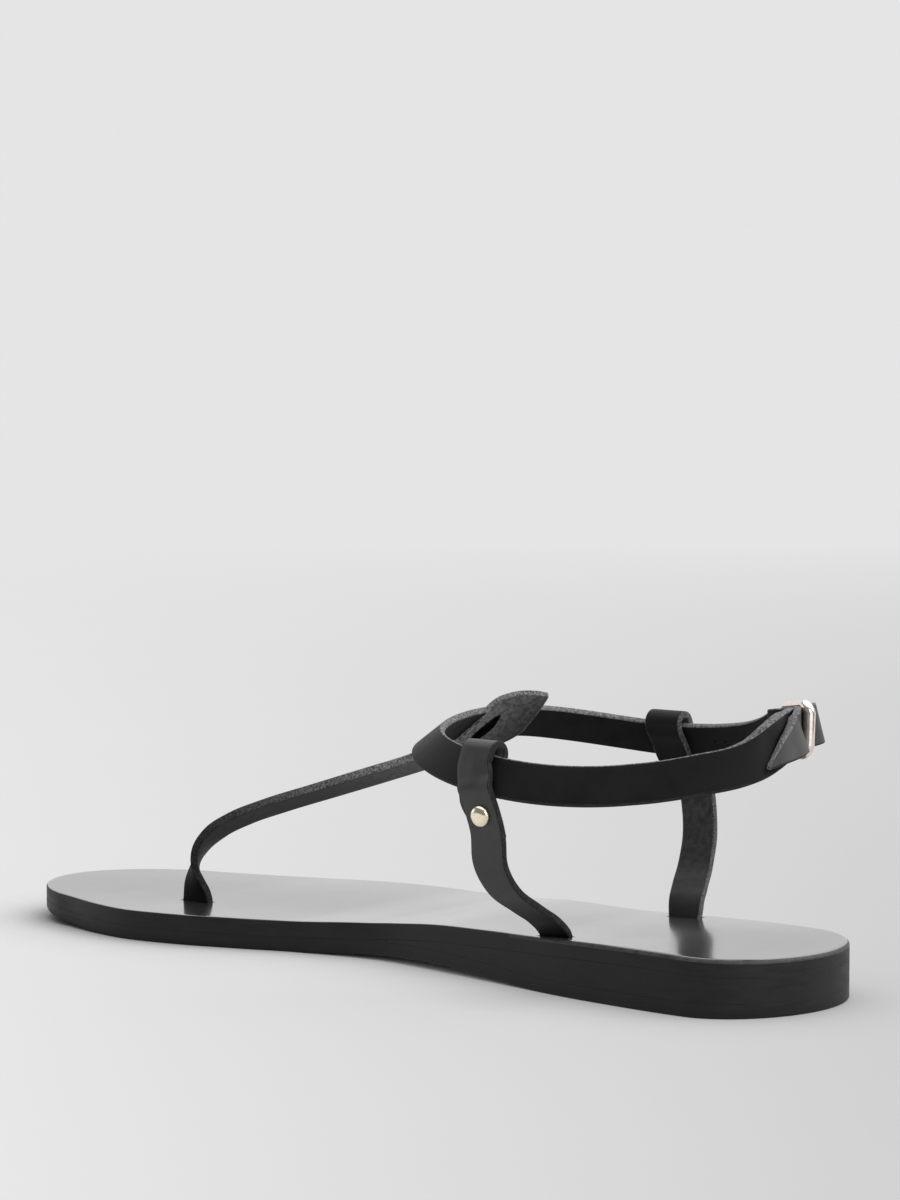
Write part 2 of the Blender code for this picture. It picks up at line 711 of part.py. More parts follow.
def build_upper(parent):
    leather = material("strap_leather", BLACK_LEATHER, 0.42)
    gold = material("pale_gold", PALE_GOLD, 0.18, 1.0)
    upper = ankle_strap(parent)
    upper.name = "upper"
    upper.data.materials.append(leather)
    boolean(upper, as_cutter(thong_strap(parent)), 'UNION')
    for spec in SIDE_STRAPS:
        strip, seat = side_strap(spec, parent)
        boolean(upper, as_cutter(strip), 'UNION')
        rivet(spec.name, seat, gold, parent)
    boolean(upper, prong_slot(parent), 'DIFFERENCE')
    buckle_frame(gold, parent)
    buckle_prong(gold, parent)


def centre_on_floor(base):
    """Moves the base so that the sandal's box is centred on the origin and stands on Z = 0."""
    bpy.context.view_layer.update()
    graph = bpy.context.evaluated_depsgraph_get()
    corners = []
    for item in bpy.context.scene.objects:
        if item.type == 'MESH' and not item.hide_render:
            made = item.evaluated_get(graph)
            corners += [made.matrix_world @ vertex.co for vertex in made.data.vertices]
    low = [min(corner[axis] for corner in corners) for axis in range(3)]
    high = [max(corner[axis] for corner in corners) for axis in range(3)]
    base.location = (-(low[0] + high[0]) / 2, -(low[1] + high[1]) / 2, -low[2])


def main():
    clear_scene()
    base = bpy.data.objects.new("sandal", None)
    bpy.context.scene.collection.objects.link(base)
    build_sole(base)
    build_upper(base)
    centre_on_floor(base)


main()
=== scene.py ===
"""Looks of the flat T-strap thong sandal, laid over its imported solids.

Lengths in the tables are millimetres, with X to the toe, Y to the inner side from the axis of
the heel and Z up. Every point is moved into the row frame by SHIFT when its piece is made.
"""

from collections import namedtuple
from math import ceil, copysign, cos, pi, radians, sin, sqrt

import bmesh
import bpy
import numpy as np
from mathutils import Matrix, Vector


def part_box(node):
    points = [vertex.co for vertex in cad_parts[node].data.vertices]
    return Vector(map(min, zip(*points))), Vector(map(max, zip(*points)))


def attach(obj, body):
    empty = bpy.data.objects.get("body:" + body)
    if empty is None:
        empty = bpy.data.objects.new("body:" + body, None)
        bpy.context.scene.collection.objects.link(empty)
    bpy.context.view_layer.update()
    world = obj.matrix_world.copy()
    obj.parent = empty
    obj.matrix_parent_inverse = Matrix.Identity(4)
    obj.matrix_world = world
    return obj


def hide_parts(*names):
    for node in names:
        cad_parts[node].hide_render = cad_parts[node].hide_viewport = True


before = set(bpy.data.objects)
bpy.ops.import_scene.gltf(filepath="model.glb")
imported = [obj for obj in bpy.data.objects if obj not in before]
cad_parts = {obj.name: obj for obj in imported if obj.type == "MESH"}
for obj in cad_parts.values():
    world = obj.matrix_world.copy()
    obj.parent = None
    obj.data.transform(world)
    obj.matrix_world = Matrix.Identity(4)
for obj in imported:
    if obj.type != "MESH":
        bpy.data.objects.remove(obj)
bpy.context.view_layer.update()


def table(columns, *rows):
    """Rows of values under named columns."""
    row_type = namedtuple("Row", columns)
    return [row_type(*row) for row in rows]


MM = 0.001
FIT = 0.3  # clearance between the solids
SEAM = 0.012  # fine line left between neighbouring layers of the sole

# Sole
SOLE_LENGTH = 250.0
BALL_WIDTH = 79.4
OUTSOLE_THICKNESS = 3.2
INSOLE_THICKNESS = 4.2
FULL_SOLE = 7.6  # where the sole is thinner than this, the insole thins with it
WEDGE_FRONT = 0.5
HEEL_ROUND = 20.0
TOE_ROUND = 22.0
SOLE_STATIONS = 181
SOLE_COLUMNS = 36
FOOT_CHAMFER = 0.5
LAYER_ROUND = 0.035  # softened edge of each layer
RIM_TOE = 0.5  # rounding of the insole's top rim, at the toe and at the heel
RIM_HEEL = 1.0
RIM_STEPS = 6
WAVE_SHARE = 0.0027  # slight wave of the footbed across, as a share of its width
WAVE_ENDS = 0.12  # the wave runs out over this share of the length at heel and toe
SEAT_STEP = 0.05  # length of the outsole's step at the wedge's front edge
STATION_GAP = 0.001  # least share of the length between a station and a blunt end
OUTLINE_SAMPLES = 2000
BLUNT_END = 0.01  # an end with more than this half width is blunt
FOOT_BEND_RISE = 0.3  # middle of the foot's rounding, as shares of its chamfer
FOOT_BEND_INSET = 0.4
RIM_HEEL_END = 0.2  # the rim's rounding changes between these shares of the length
RIM_TOE_START = 0.5
HIGHLIT_RIM_END = 0.3  # the rim's bevel has a painted highlight behind this share of the length
TOP_INSET = 0.9  # the footbed's even top starts this far inside the rim

# Straps
LEATHER = 2.1
SIDE_LEATHER = 1.7
BAND_LEATHER = 1.7
TIP_LEATHER = 2.2  # free end of the ankle strap, where it lies on the strap
LEAF_LEATHER = 1.3  # tip of the thong strap's leaf-shaped end
BAND_WIDTH = 9.7
SIDE_STRAP_WIDTH = 9.0
SLOT_DEPTH = 3.6
SLOT_ASIDE = 0.9  # the side straps' ends lie this much nearer to the middle
LAYER_GAP = 0.25
CONTACT = 0.05  # air between straps that lie on each other
INNER_AHEAD = 1.5  # the side straps' inner layers end this far ahead of the outer ones
LOOP_SLACK = 0.7  # the side straps' loops stand off the ankle strap's top by this
RIVET_DROP = 9.8
RIVET_RADIUS = 2.6
RIVET_HEIGHT = 1.5
STRAP_SPACING = 0.9  # between stations along a strap
EDGE_ROUND = 0.34  # rounding of the cut edges
FACE_COLUMNS = 8
CORNER_STEPS = 3
CORNER_SHARE = 0.4  # an edge's rounding takes at most this share of the strap
SLOT_EASE = 0.4  # extra room in a slot, for the slope of the strap in it
JOIN_RISE = 0.4  # the side straps meet the ankle strap this far above its lower edge
THONG_SPACING = 1.5  # between stations of the thong's and the side straps' courses
SIDE_SPACING = 2.4
FOLD_STEPS = 8  # stations round the fold of a strap
CREASE = 38.0  # edges bent by fewer degrees are shaded smooth
METAL_CREASE = 60.0
RIVET_SIDES = 48
RIVET_PROFILE = [  # domed cap with a rolled foot: shares of its radius and height
    (0.90, 0.02), (0.98, 0.10), (1.0, 0.26), (0.985, 0.40), (0.93, 0.56), (0.83, 0.72),
    (0.68, 0.85), (0.48, 0.94), (0.25, 0.985),
]

# Ankle strap: an egg-shaped ring, wider in front, with its front and back raised
RING_MIDDLE = (-69.5, 0.5)
RING_HALF_LENGTH = 50.5
RING_HALF_WIDTH = 36.5
RING_EGG = 0.37
RING_TURN = -5.6
RING_HEIGHT = 58.3
RING_START = 240  # degrees from the front bar round the ankle to the near bar
RING_END = 555
RING_SPACING = 5
RING_RISE_FRONT = -0.9
RING_RISE_INNER = -2.05
RING_SADDLE = 4.0
RING_SKEW = 2.4
BAND_LEAN = 26.3
BAND_LEAN_FRONT = 8.9
BAND_LEAN_ENDS = 1.6
INSTEP_ANGLE = 25.0  # here the strap lies flatter, where it turns over the instep
INSTEP_LEAN = 17.0
INSTEP_FALL = 1.5
INSTEP_POWER = 6  # the higher, the shorter that stretch

# Centre-bar buckle, at the back of the outer side
NEAR_BAR_ANGLE = 203.0
FRONT_BAR_ANGLE = 228.0
CENTRE_SHARE = 0.48
BAR_OUT = 1.0
STRAP_SINK = 3.0
SINK_START = 160.0
BUCKLE_ROD = 0.8
BUCKLE_HALF_HEIGHT = 5.9
BUCKLE_CORNER = 2.2
PRONG_ROD = 0.7
BUCKLE_TURN = 10.5  # degrees of the frame's turn about its near bar
BUCKLE_LEAN = 0.10  # the bars' tops lean outward
BUCKLE_UPRIGHT = 10.0  # share of Z added to the strap's own direction up
RIM_ROD = 1.0  # the frame's rod, which is thickest at the near bar
NEAR_ROD = 1.5
NEAR_BOW = 0.9  # the near bar's middle stands out this far
NEAR_POWER = 4  # thickness and bow grow by this power toward the near bar
CENTRE_ROD = 0.768  # rod of the bar across the frame
CORNER_STATIONS = 14
BUCKLE_SIDES = 28
PRONG_BOW = 0.5  # the prong's curve bends toward a place this far out
PRONG_TAPER = 0.35
PRONG_STEPS = 24
BAR_CLEARANCE = BUCKLE_ROD + FIT + BAND_LEATHER / 2
BAND_LAYER = BAND_LEATHER + LAYER_GAP
# Free end, from under the front bar, over the centre bar and under the near bar
FREE_END_ROWS = table("share height lean lift",
    (1.00, -2.35, 0.0, 0.3),
    (0.78, 0.8, 0.1, 0.7),
    (0.64, 4.0, 0.25, 1.5),
    (0.48, 5.2, 0.3, 1.9),
    (0.32, 4.0, 0.25, 1.5),
    (0.20, 0.9, 0.1, 0.7),
    (0.00, -2.30, 0.0, 0.2),
)
TIP_ROWS = table("along width",  # rounded end of the free strap: ring angle and width
    (164, 0.9),
    (165, 1.7),
    (167, 2.7),
    (170, 4.05),
    (175, 5.95),
    (180, 7.3),
    (185, 8.2),
    (190, 8.9),
    (195, 9.4),
)
TIP_LIFT = 0.3
TIP_RISE = 0.9  # the tip itself stands off a little more
# Course of the strap beside the buckle: ring angle, how far its inner side stands above its outer
# side, and how far the whole strap lies above the ring
COURSE_ROWS = table("along slant rise",
    (120, 0.0, 0.0),
    (140, 0.2, -0.4),
    (150, 0.4, -1.0),
    (157, 0.7, -1.1),
    (165, 1.0, -0.5),
    (172, 1.1, 0.4),
    (180, 1.1, 1.0),
    (190, 0.9, 0.9),
    (206, 0.0, 0.0),
)
FAR_ANGLE = 262  # from here to the front bar the far part rises into the frame
FAR_RISE = 1.3
FRONT_ANGLE = 363.0  # the strap is a little wider where the thong strap meets it
FRONT_HALF_ANGLE = 22.0
FRONT_EXTRA = 1.6
HOLE_ANGLES = (276.0, 271.0)  # pin holes in the free part of the ankle strap
HOLE_RADIUS = 0.8
HOLE_REACH = 3.0  # half the length of the rods that cut them

SOLE_ROWS = table("along centre width",  # shares of the length and of the ball's width
    (0.000, -0.022, 0.680),
    (0.100, -0.013, 0.690),
    (0.200, -0.022, 0.672),
    (0.300, -0.054, 0.645),
    (0.400, -0.117, 0.675),
    (0.500, -0.184, 0.731),
    (0.600, -0.209, 0.889),
    (0.660, -0.181, 0.967),
    (0.720, -0.136, 1.000),
    (0.780, -0.088, 0.972),
    (0.840, -0.052, 0.874),
    (0.900, -0.030, 0.742),
    (0.950, -0.013, 0.650),
    (1.000, 0.004, 0.580),
)

HEIGHT_ROWS = table("along lift thickness",
    (0.000, 0.0, 13.5),
    (0.120, 0.0, 14.2),
    (0.200, 0.0, 13.9),
    (0.260, 0.0, 13.3),
    (0.340, 1.1, 11.5),
    (0.420, 1.8, 9.8),
    (0.480, 1.5, 8.6),
    (0.520, 1.1, 8.1),
    (0.620, 0.0, 7.9),
    (0.780, 0.0, 7.8),
    (0.860, 0.5, 7.6),
    (0.928, 1.8, 6.8),
    (1.000, 4.0, 5.2),
)

# Thong strap: yaw turns its width from along the foot to across it, roll lifts its inner edge
THONG_ROWS = table("x y z yaw roll width",
    (69.6, 8.0, 7.8, 0, 0, 9.4),
    (70.4, 8.1, 12.6, 18, 0, 9.0),
    (70.2, 8.1, 17.2, 46, 0, 8.4),
    (68.3, 7.8, 21.8, 66, 4, 8.2),
    (64.0, 7.1, 26.2, 80, 9, 8.4),
    (56.0, 5.9, 30.6, 88, 13, 8.6),
    (45.6, 4.3, 34.5, 90, 15, 8.8),
    (30.0, 1.9, 39.5, 90, 15, 9.0),
    (14.6, -0.4, 44.4, 90, 15, 9.2),
    (1.0, -2.5, 48.8, 90, 14, 9.4),
    (-9.0, -3.4, 52.4, 90, 12, 11.2),
    (-15.6, -4.2, 55.1, 92, 14, 11.2),
    (-21.0, -6.3, 58.7, 96, 18, 12.6),
    (-26.0, -9.5, 63.6, 96, 20, 12.6),
    (-30.0, -11.5, 66.1, 96, 20, 8.0),
    (-32.0, -12.3, 66.9, 96, 20, 4.2),
    (-33.2, -12.7, 67.2, 96, 20, 1.2),
)
SLIT_START = 10.8  # lengthwise slit in the leaf-shaped end, by row of the table
SLIT_END = 12.55
SLIT_HALF = 1.55
SLIT_ASIDE = 0.40  # the slit lies this share of half the width to the inner side
LEAF_FROM = -16.0  # the leaf-shaped end thins from here to its tip
LEAF_OUTER = (-20.0, -11.5, 56.9)  # its outer and inner side, at the widest place; the leaf's painted light and shade fade between them
LEAF_INNER = (-21.3, -1.7, 61.9)
LEAF_FLESH_FROM = -8.0  # from here on the flesh side takes the leaf's flesh, with its painted light and shade
SLIT_LEAST = 0.1  # width at the slit's ends
SLIT_POWER = 0.7  # the lower, the fuller the slit toward its ends
SLIT_CUT = 5.25  # thickness of its cutter

SLANT_TOP = 1.2  # below this height on the ankle strap the side straps run aslant
SIDE_STRAPS = table("name ring_angle slant inner_end base low_width high_width rows",
    ("medial", 75.6, 0.48, 16.0, (0.985, 0.17, 0.0), 8.2, 9.6, table("x y z",
        (-61.9, 19.2, 13.9),
        (-61.5, 22.0, 16.9),
        (-60.2, 27.4, 20.6),
        (-58.3, 33.6, 25.2),
        (-57.8, 38.4, 32.0),
        (-58.4, 40.2, 40.0),
    )),
    ("lateral", 294.5, -0.35, 13.5, (1.0, 0.0, 0.0), 9.0, 10.3, table("x y z",
        (-69.0, -22.8, 14.0),
        (-67.6, -25.0, 16.8),
        (-64.4, -30.6, 20.0),
        (-60.6, -38.0, 24.6),
        (-58.6, -42.4, 31.0),
        (-57.2, -43.6, 40.0),
    )),
)
TWIST_POWER = 3  # the higher, the later a side strap turns along the ankle strap

# Camera of the photograph, and the stage
CAMERA_PLACE = (-593.5, 672.9, 148.5)
CAMERA_FORWARD = (0.6525, -0.7550, -0.0648)
CAMERA_RIGHT = (-0.7566, -0.6539, 0.0)
CAMERA_LENS = 106.65
CAMERA_SENSOR = 36.0
EYE_DISTANCE = 0.9  # metres from the camera's foot to the sandal
NEAREST_VIEW = 0.45  # nothing nearer to the camera than this shows
FLOOR_NEAR = -60.0  # metres along the view from the sandal
FLOOR_FAR = 8.0
FLOOR_HALF = 40.0
WALL_BEND = 1.0  # radius of the curve from floor to wall
WALL_TOP = 4.0
BEND_STEPS = 12
PAPER_DARK = (0.80,) * 3
PAPER_LIGHT = (0.83,) * 3
PAPER_PATCH = 3.0
GLOW_LEFT = 0.776  # the floor's own light at the left and right, and the wall's
GLOW_RIGHT = 0.54
GLOW_WALL = 0.785
FAN_HALF = 0.13  # slope of the view to the picture's left and right side
WALL_LIGHT_FROM = 2.1  # metres ahead where the floor has the wall's light
GLOW_SHARE = 0.75  # share of that light in the floor's look, which grows to all far off
SHARE_START = 0.4
SHARE_END = 3.0
NEAR_SHADE = 0.030  # reach of the narrow shade along the sole, in metres, and its strength
SHADE_HEEL = 0.5
SHADE_TOE = 2.8
SUN_AHEAD = 0.28  # the light's slope from beyond the sandal and from the right
SUN_RIGHT = 0.10
LIT_PLACE = (-0.06, 0.02, 0.04)  # the panels face this place
PANELS = table("name place wide tall power",  # soft lights round the sandal, in metres and watts
    ("left_panel", (1.15, 0.40, 0.36), 0.7, 0.5, 0.8),
    ("right_panel", (-1.13, -0.98, 0.95), 0.8, 0.8, 8.0),
    ("front_panel", (-1.38, 0.53, 0.90), 0.6, 0.6, 6.0),
    ("heel_panel", (-1.60, 0.28, 0.30), 1.6, 0.5, 2.0),
)

# Finishes
TONE_LOW = 0.36  # stretch of the noise that goes from the dark to the light tone
TONE_HIGH = 0.64
GLOSS_LOW = 0.3  # the same for the gloss
GLOSS_HIGH = 0.7
FINE_GRAIN = 0.6  # fine noise in the grain: its scale and height, beside the cells
FINE_HEIGHT = 0.8
GOLD_WEAR = 900.0  # worn patches in a metre, and their roughness
GOLD_ROUGHNESS = (0.10, 0.22)
GOLD_DENTS = 2600.0
GOLD_DEPTH = 0.000006
COOL = 1.03  # blue in a grey, beside red and green


def clamp(share):
    return min(1.0, max(0.0, share))


def ease(share):
    """Share that starts and ends gently."""
    return share * share * (3 - 2 * share)


def between(values, tangents, gap, i, t):
    """Cubic from values[i] to values[i + 1] across the gap, at the share t of the way."""
    return ((1 + 2 * t) * (1 - t) ** 2 * values[i] + t * (1 - t) ** 2 * gap * tangents[i]
            + t * t * (3 - 2 * t) * values[i + 1] + t * t * (t - 1) * gap * tangents[i + 1])


def monotone(rows, column, where):
    """Value of one table column at a fraction of the length, by monotone cubic interpolation."""
    xs = np.array([row.along for row in rows])
    ys = np.array([getattr(row, column) for row in rows])
    gaps = np.diff(xs)
    slopes = np.diff(ys) / gaps
    tangents = np.zeros(len(xs))
    for i in range(1, len(xs) - 1):
        if slopes[i - 1] * slopes[i] > 0:
            before = 2 * gaps[i] + gaps[i - 1]
            after = gaps[i] + 2 * gaps[i - 1]
            tangents[i] = (before + after) / (before / slopes[i - 1] + after / slopes[i])
    tangents[0] = slopes[0]
    tangents[-1] = slopes[-1]
    i = int(np.clip(np.searchsorted(xs, where) - 1, 0, len(gaps) - 1))
    return between(ys, tangents, gaps[i], i, (where - xs[i]) / gaps[i])


def sole_x(along):
    return (along - 0.5) * SOLE_LENGTH


def underside(along):
    return monotone(HEIGHT_ROWS, "lift", along)


def footbed(along):
    """Height of the insole's top above the floor."""
    return underside(along) + monotone(HEIGHT_ROWS, "thickness", along)


def insole_bottom(along):
    share = min(1.0, monotone(HEIGHT_ROWS, "thickness", along) / FULL_SOLE)
    return footbed(along) - INSOLE_THICKNESS * share


def wedge_front():
    """Fraction of the length where the heel wedge has thinned to its front edge."""
    behind, ahead = 0.3, 0.6
    for _ in range(40):
        middle = (behind + ahead) / 2
        left = insole_bottom(middle) - underside(middle) - OUTSOLE_THICKNESS - 2 * FIT
        if left > WEDGE_FRONT:
            behind = middle
        else:
            ahead = middle
    return behind


def half_width(along):
    """Half the sole's width, with rounded heel and toe ends."""
    full = monotone(SOLE_ROWS, "width", along) * BALL_WIDTH / 2
    for distance, length in ((along * SOLE_LENGTH, HEEL_ROUND), ((1 - along) * SOLE_LENGTH, TOE_ROUND)):
        if distance < length:
            full *= sqrt(max(0.0, 1 - ((length - distance) / length) ** 2))
    return full


def sole_centre(along):
    return monotone(SOLE_ROWS, "centre", along) * BALL_WIDTH


def outline_stations(end=1.0):
    """Fractions of the length, closer together at the round ends; a blunt end stops at `end`."""
    last = SOLE_STATIONS - 1
    shares = [0.5 - 0.5 * cos(pi * k / last) for k in range(SOLE_STATIONS)]
    return [along for along in shares if along < end - STATION_GAP] + [end]


def widest_sides():
    """Least and greatest Y of the sole's outline, in the heel's frame."""
    samples = [k / OUTLINE_SAMPLES for k in range(OUTLINE_SAMPLES + 1)]
    low = min(sole_centre(a) - half_width(a) for a in samples)
    high = max(sole_centre(a) + half_width(a) for a in samples)
    return low, high


low_corner, high_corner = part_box("outsole")
outline_low, outline_high = widest_sides()
SHIFT = Vector((
    (low_corner.x + high_corner.x) / 2 / MM,
    (low_corner.y + high_corner.y) / 2 / MM - (outline_low + outline_high) / 2,
    low_corner.z / MM,
))


def to_row(point):
    """Point of the tables' frame, in millimetres, as metres in the row frame."""
    return (Vector(point) + SHIFT) * MM


def new_finish(name):
    """Material with its node tree, its shader and the place on the piece."""
    finish = bpy.data.materials.new(name)
    finish.use_nodes = True
    tree = finish.node_tree
    place = node(tree, "ShaderNodeTexCoord", {}).outputs["Object"]
    return finish, tree, tree.nodes["Principled BSDF"], place


def node(tree, kind, inputs, **settings):
    """Shader node with its settings; an input is a value or another node's output."""
    made = tree.nodes.new(kind)
    for key, value in settings.items():
        setattr(made, key, value)
    for socket, value in inputs.items():
        if isinstance(value, bpy.types.NodeSocket):
            tree.links.new(value, made.inputs[socket])
        else:
            made.inputs[socket].default_value = value
    return made


def noise(tree, place, scale):
    made = node(tree, "ShaderNodeTexNoise", {
        "Vector": place, "Scale": scale, "Detail": 6.0, "Roughness": 0.6})
    return made.outputs["Fac"]


def spread(tree, value, low, high, to_low, to_high):
    """Value between low and high, mapped to the other range."""
    made = node(tree, "ShaderNodeMapRange", {
        "Value": value, "From Min": low, "From Max": high, "To Min": to_low, "To Max": to_high})
    return made.outputs["Result"]


def arithmetic(tree, operation, *values):
    return node(tree, "ShaderNodeMath", dict(enumerate(values)), operation=operation).outputs["Value"]


def dot(tree, place, direction):
    made = node(tree, "ShaderNodeVectorMath", {0: place, 1: direction}, operation='DOT_PRODUCT')
    return made.outputs["Value"]


def two_tones(tree, value, dark, light):
    made = node(tree, "ShaderNodeValToRGB", {"Fac": value})
    for element, position, tone in zip(made.color_ramp.elements, (TONE_LOW, TONE_HIGH), (dark, light)):
        element.position = position
        element.color = (*tone, 1.0)
    return made.outputs["Color"]


def dress(tree, shader, tone, patches, gloss, height, depth):
    """Gives a shader its tone, uneven gloss and bumps."""
    tree.links.new(tone, shader.inputs["Base Color"])
    tree.links.new(spread(tree, patches, GLOSS_LOW, GLOSS_HIGH, *gloss), shader.inputs["Roughness"])
    bump = node(tree, "ShaderNodeBump", {"Height": height, "Strength": 1.0, "Distance": depth})
    tree.links.new(bump.outputs["Normal"], shader.inputs["Normal"])


def leather(name, dark, light, patch, gloss, grain, depth, stretch=(1, 1, 1), specular=0.5, coat=0.0,
            sheen=0.0, painted_fade=None):
    """Leather with patches of two tones, uneven gloss and a grain of cells and fine noise.

    A painted fade gives two places in metres and the shares of the tone at the first and at the second, and
    so paints light and shade along the way between them.
    """
    finish, tree, shader, space = new_finish(name)
    place = node(tree, "ShaderNodeMapping", {"Vector": space, "Scale": stretch}).outputs["Vector"]
    patches = noise(tree, place, patch)
    tone = two_tones(tree, patches, grey(dark), grey(light))
    if painted_fade:
        first, second, low, high = painted_fade
        toward = (Vector(second) - Vector(first)).normalized()
        along = dot(tree, space, toward)
        left = spread(tree, along, Vector(first).dot(toward), Vector(second).dot(toward), low, high)
        tone = node(tree, "ShaderNodeVectorMath", {0: tone, "Scale": left}, operation='SCALE').outputs[0]
    cells = node(tree, "ShaderNodeTexVoronoi", {"Vector": place, "Scale": grain}, feature='SMOOTH_F1')
    fine = noise(tree, place, grain * FINE_GRAIN)
    height = arithmetic(tree, 'MULTIPLY_ADD', fine, FINE_HEIGHT, cells.outputs["Distance"])
    dress(tree, shader, tone, patches, gloss, height, depth)
    looks = {"Specular IOR Level": specular, "Coat Weight": coat, "Coat Roughness": 0.12, "Coat IOR": 2.0,
             "Sheen Weight": sheen}
    for socket, value in looks.items():
        shader.inputs[socket].default_value = value
    return finish


def polished_gold(name, dark, light):
    finish, tree, shader, place = new_finish(name)
    wear = noise(tree, place, GOLD_WEAR)
    tone = two_tones(tree, wear, dark, light)
    dress(tree, shader, tone, wear, GOLD_ROUGHNESS, noise(tree, place, GOLD_DENTS), GOLD_DEPTH)
    shader.inputs["Metallic"].default_value = 1.0
    return finish


def grey(tone):
    return (tone, tone, tone * COOL)


# Grain of the leathers: cells in a metre, and their depth in metres
SMOOTH = {"grain": 1500.0, "depth": 0.00002}
NAPPED = {"grain": 2600.0, "depth": 0.00007}
PAINTED = {"grain": 900.0, "depth": 0.00003}

# Each leather has a dark and a light tone, patches in a metre, a range of roughness and a grain
GRAIN = leather("strap_grain", 0.006, 0.010, 90.0, (0.46, 0.6), **SMOOTH, specular=0.22)
THONG_GRAIN = leather("thong_grain", 0.004, 0.008, 90.0, (0.5, 0.65), **SMOOTH, specular=0.1)
# Lighter copy of the strap grain: painted light on the medial strap and on the free end's face, with
# painted shade toward the slot
LIT_STRAP_GRAIN = leather("side_strap_grain", 0.033, 0.050, 120.0, (0.38, 0.52), **SMOOTH, specular=0.45,
                     painted_fade=((0, 0, 0.015), (0, 0, 0.040), 0.25, 1.0))
BAND_BACK = leather("strap_lining", 0.007, 0.014, 260.0, (0.6, 0.8), 1900.0, 0.00003, specular=0.2)
# Flesh of the thong, with painted shade toward the toe where its underside faces the insole
PAINTED_THONG_FLESH = leather("thong_flesh_painted_shade", 0.05, 0.15, 750.0, (0.8, 0.95), **NAPPED, specular=0.25, sheen=0.2,
                painted_fade=((0.030, 0, 0), (-0.006, 0, 0), 0.1, 1.0))
# Flesh of the leaf-shaped end, with painted light toward its raised inner side and painted shade toward its
# outer side
PAINTED_LEAF = leather("leaf_flesh_painted_light_and_shade", 0.04, 0.125, 750.0, (0.8, 0.95), **NAPPED, specular=0.25, sheen=0.2,
               painted_fade=(to_row(LEAF_OUTER), to_row(LEAF_INNER), 0.3, 1.8))
# Flesh of the side straps, with painted shade toward the slot and painted light higher up
PAINTED_SIDE_FLESH = leather("side_strap_flesh_painted_light_and_shade", 0.03, 0.075, 600.0, (0.75, 0.95), 2600.0, 0.00006, specular=0.25,
                     sheen=0.15, painted_fade=((0, 0, 0.016), (0, 0, 0.05), 0.15, 1.7))
CUT = leather("strap_cut_edge", 0.05, 0.30, 1700.0, (0.7, 0.95), **NAPPED, specular=0.3)
# Cut edge of the thong, with painted shade toward its root between the toes
PAINTED_THONG_CUT = leather("thong_cut_edge_painted_shade", 0.02, 0.36, 1900.0, (0.7, 0.95), **NAPPED, specular=0.3,
                    painted_fade=((0.065, 0, 0), (0, 0, 0), 0.12, 1.0))
FRAYED = leather("strap_frayed_edge", 0.01, 0.17, 2300.0, (0.7, 0.95), **NAPPED, specular=0.3)
DARK_CUT = leather("strap_dark_edge", 0.010, 0.035, 1100.0, (0.6, 0.85), 2200.0, 0.00005, specular=0.25)
INSOLE = leather("insole_gloss", 0.004, 0.008, 60.0, (0.20, 0.25), 1700.0, 0.0000006, coat=1.0, sheen=0.03)
EDGE = leather("sole_edge_paint", 0.009, 0.017, 120.0, (0.42, 0.62), **PAINTED, stretch=(1, 1, 5),
               specular=0.3)
# Painted highlight on the bevel of the insole's rim, brighter toward the heel
RIM_HIGHLIGHT = leather("sole_rim_painted_highlight", 0.03, 0.075, 300.0, (0.4, 0.6), **PAINTED, specular=0.4,
              painted_fade=((-0.03, 0, 0), (-0.085, 0, 0), 0.4, 1.0))
GOLD = polished_gold("rivet_gold", (0.90, 0.80, 0.58), (1.0, 0.94, 0.76))
ROSE_GOLD = polished_gold("buckle_gold", (0.88, 0.75, 0.68), (1.0, 0.92, 0.87))


def add_object(name, data):
    item = bpy.data.objects.new(name, data)
    bpy.context.scene.collection.objects.link(item)
    return item


def add_piece(name, points, faces, finishes, finish_of_face=None, crease=CREASE):
    """Mesh object with faces turned outward and smooth shading up to the crease angle."""
    mesh = bpy.data.meshes.new(name)
    mesh.from_pydata([tuple(to_row(point)) for point in points], [], faces)
    for finish in finishes:
        mesh.materials.append(finish)
    if finish_of_face:
        mesh.polygons.foreach_set("material_index", finish_of_face)
    shape = bmesh.new()
    shape.from_mesh(mesh)
    bmesh.ops.recalc_face_normals(shape, faces=shape.faces)
    shape.to_mesh(mesh)
    shape.free()
    mesh.shade_smooth()
    mesh.set_sharp_from_angle(angle=radians(crease))
    return add_object(name, mesh)


def cut(item, cutter):
    """Cuts the cutter out of the item for good and removes the cutter."""
    step = item.modifiers.new("cut", 'BOOLEAN')
    step.operation = 'DIFFERENCE'
    step.object = cutter
    step.solver = 'EXACT'
    bpy.context.view_layer.update()
    graph = bpy.context.evaluated_depsgraph_get()
    mesh = bpy.data.meshes.new_from_object(item.evaluated_get(graph))
    item.modifiers.clear()
    item.data = mesh
    mesh.shade_smooth()
    mesh.set_sharp_from_angle(angle=radians(CREASE))
    bpy.data.objects.remove(cutter, do_unlink=True)


def finish_piece(item, slot, *nodes):
    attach(item, "root")
    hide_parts(*nodes)


def tube_faces(loops, count, closed=False, capped=False):
    """Faces between loops of `count` points; a closed tube joins its ends and a capped one fills them."""
    faces = []
    for k in range(loops if closed else loops - 1):
        base = k * count
        above = (k + 1) % loops * count
        for s in range(count):
            beside = (s + 1) % count
            faces.append((base + s, base + beside, above + beside, above + s))
    if capped:
        faces += [tuple(range(count)), tuple(range((loops - 1) * count, loops * count))]
    return faces


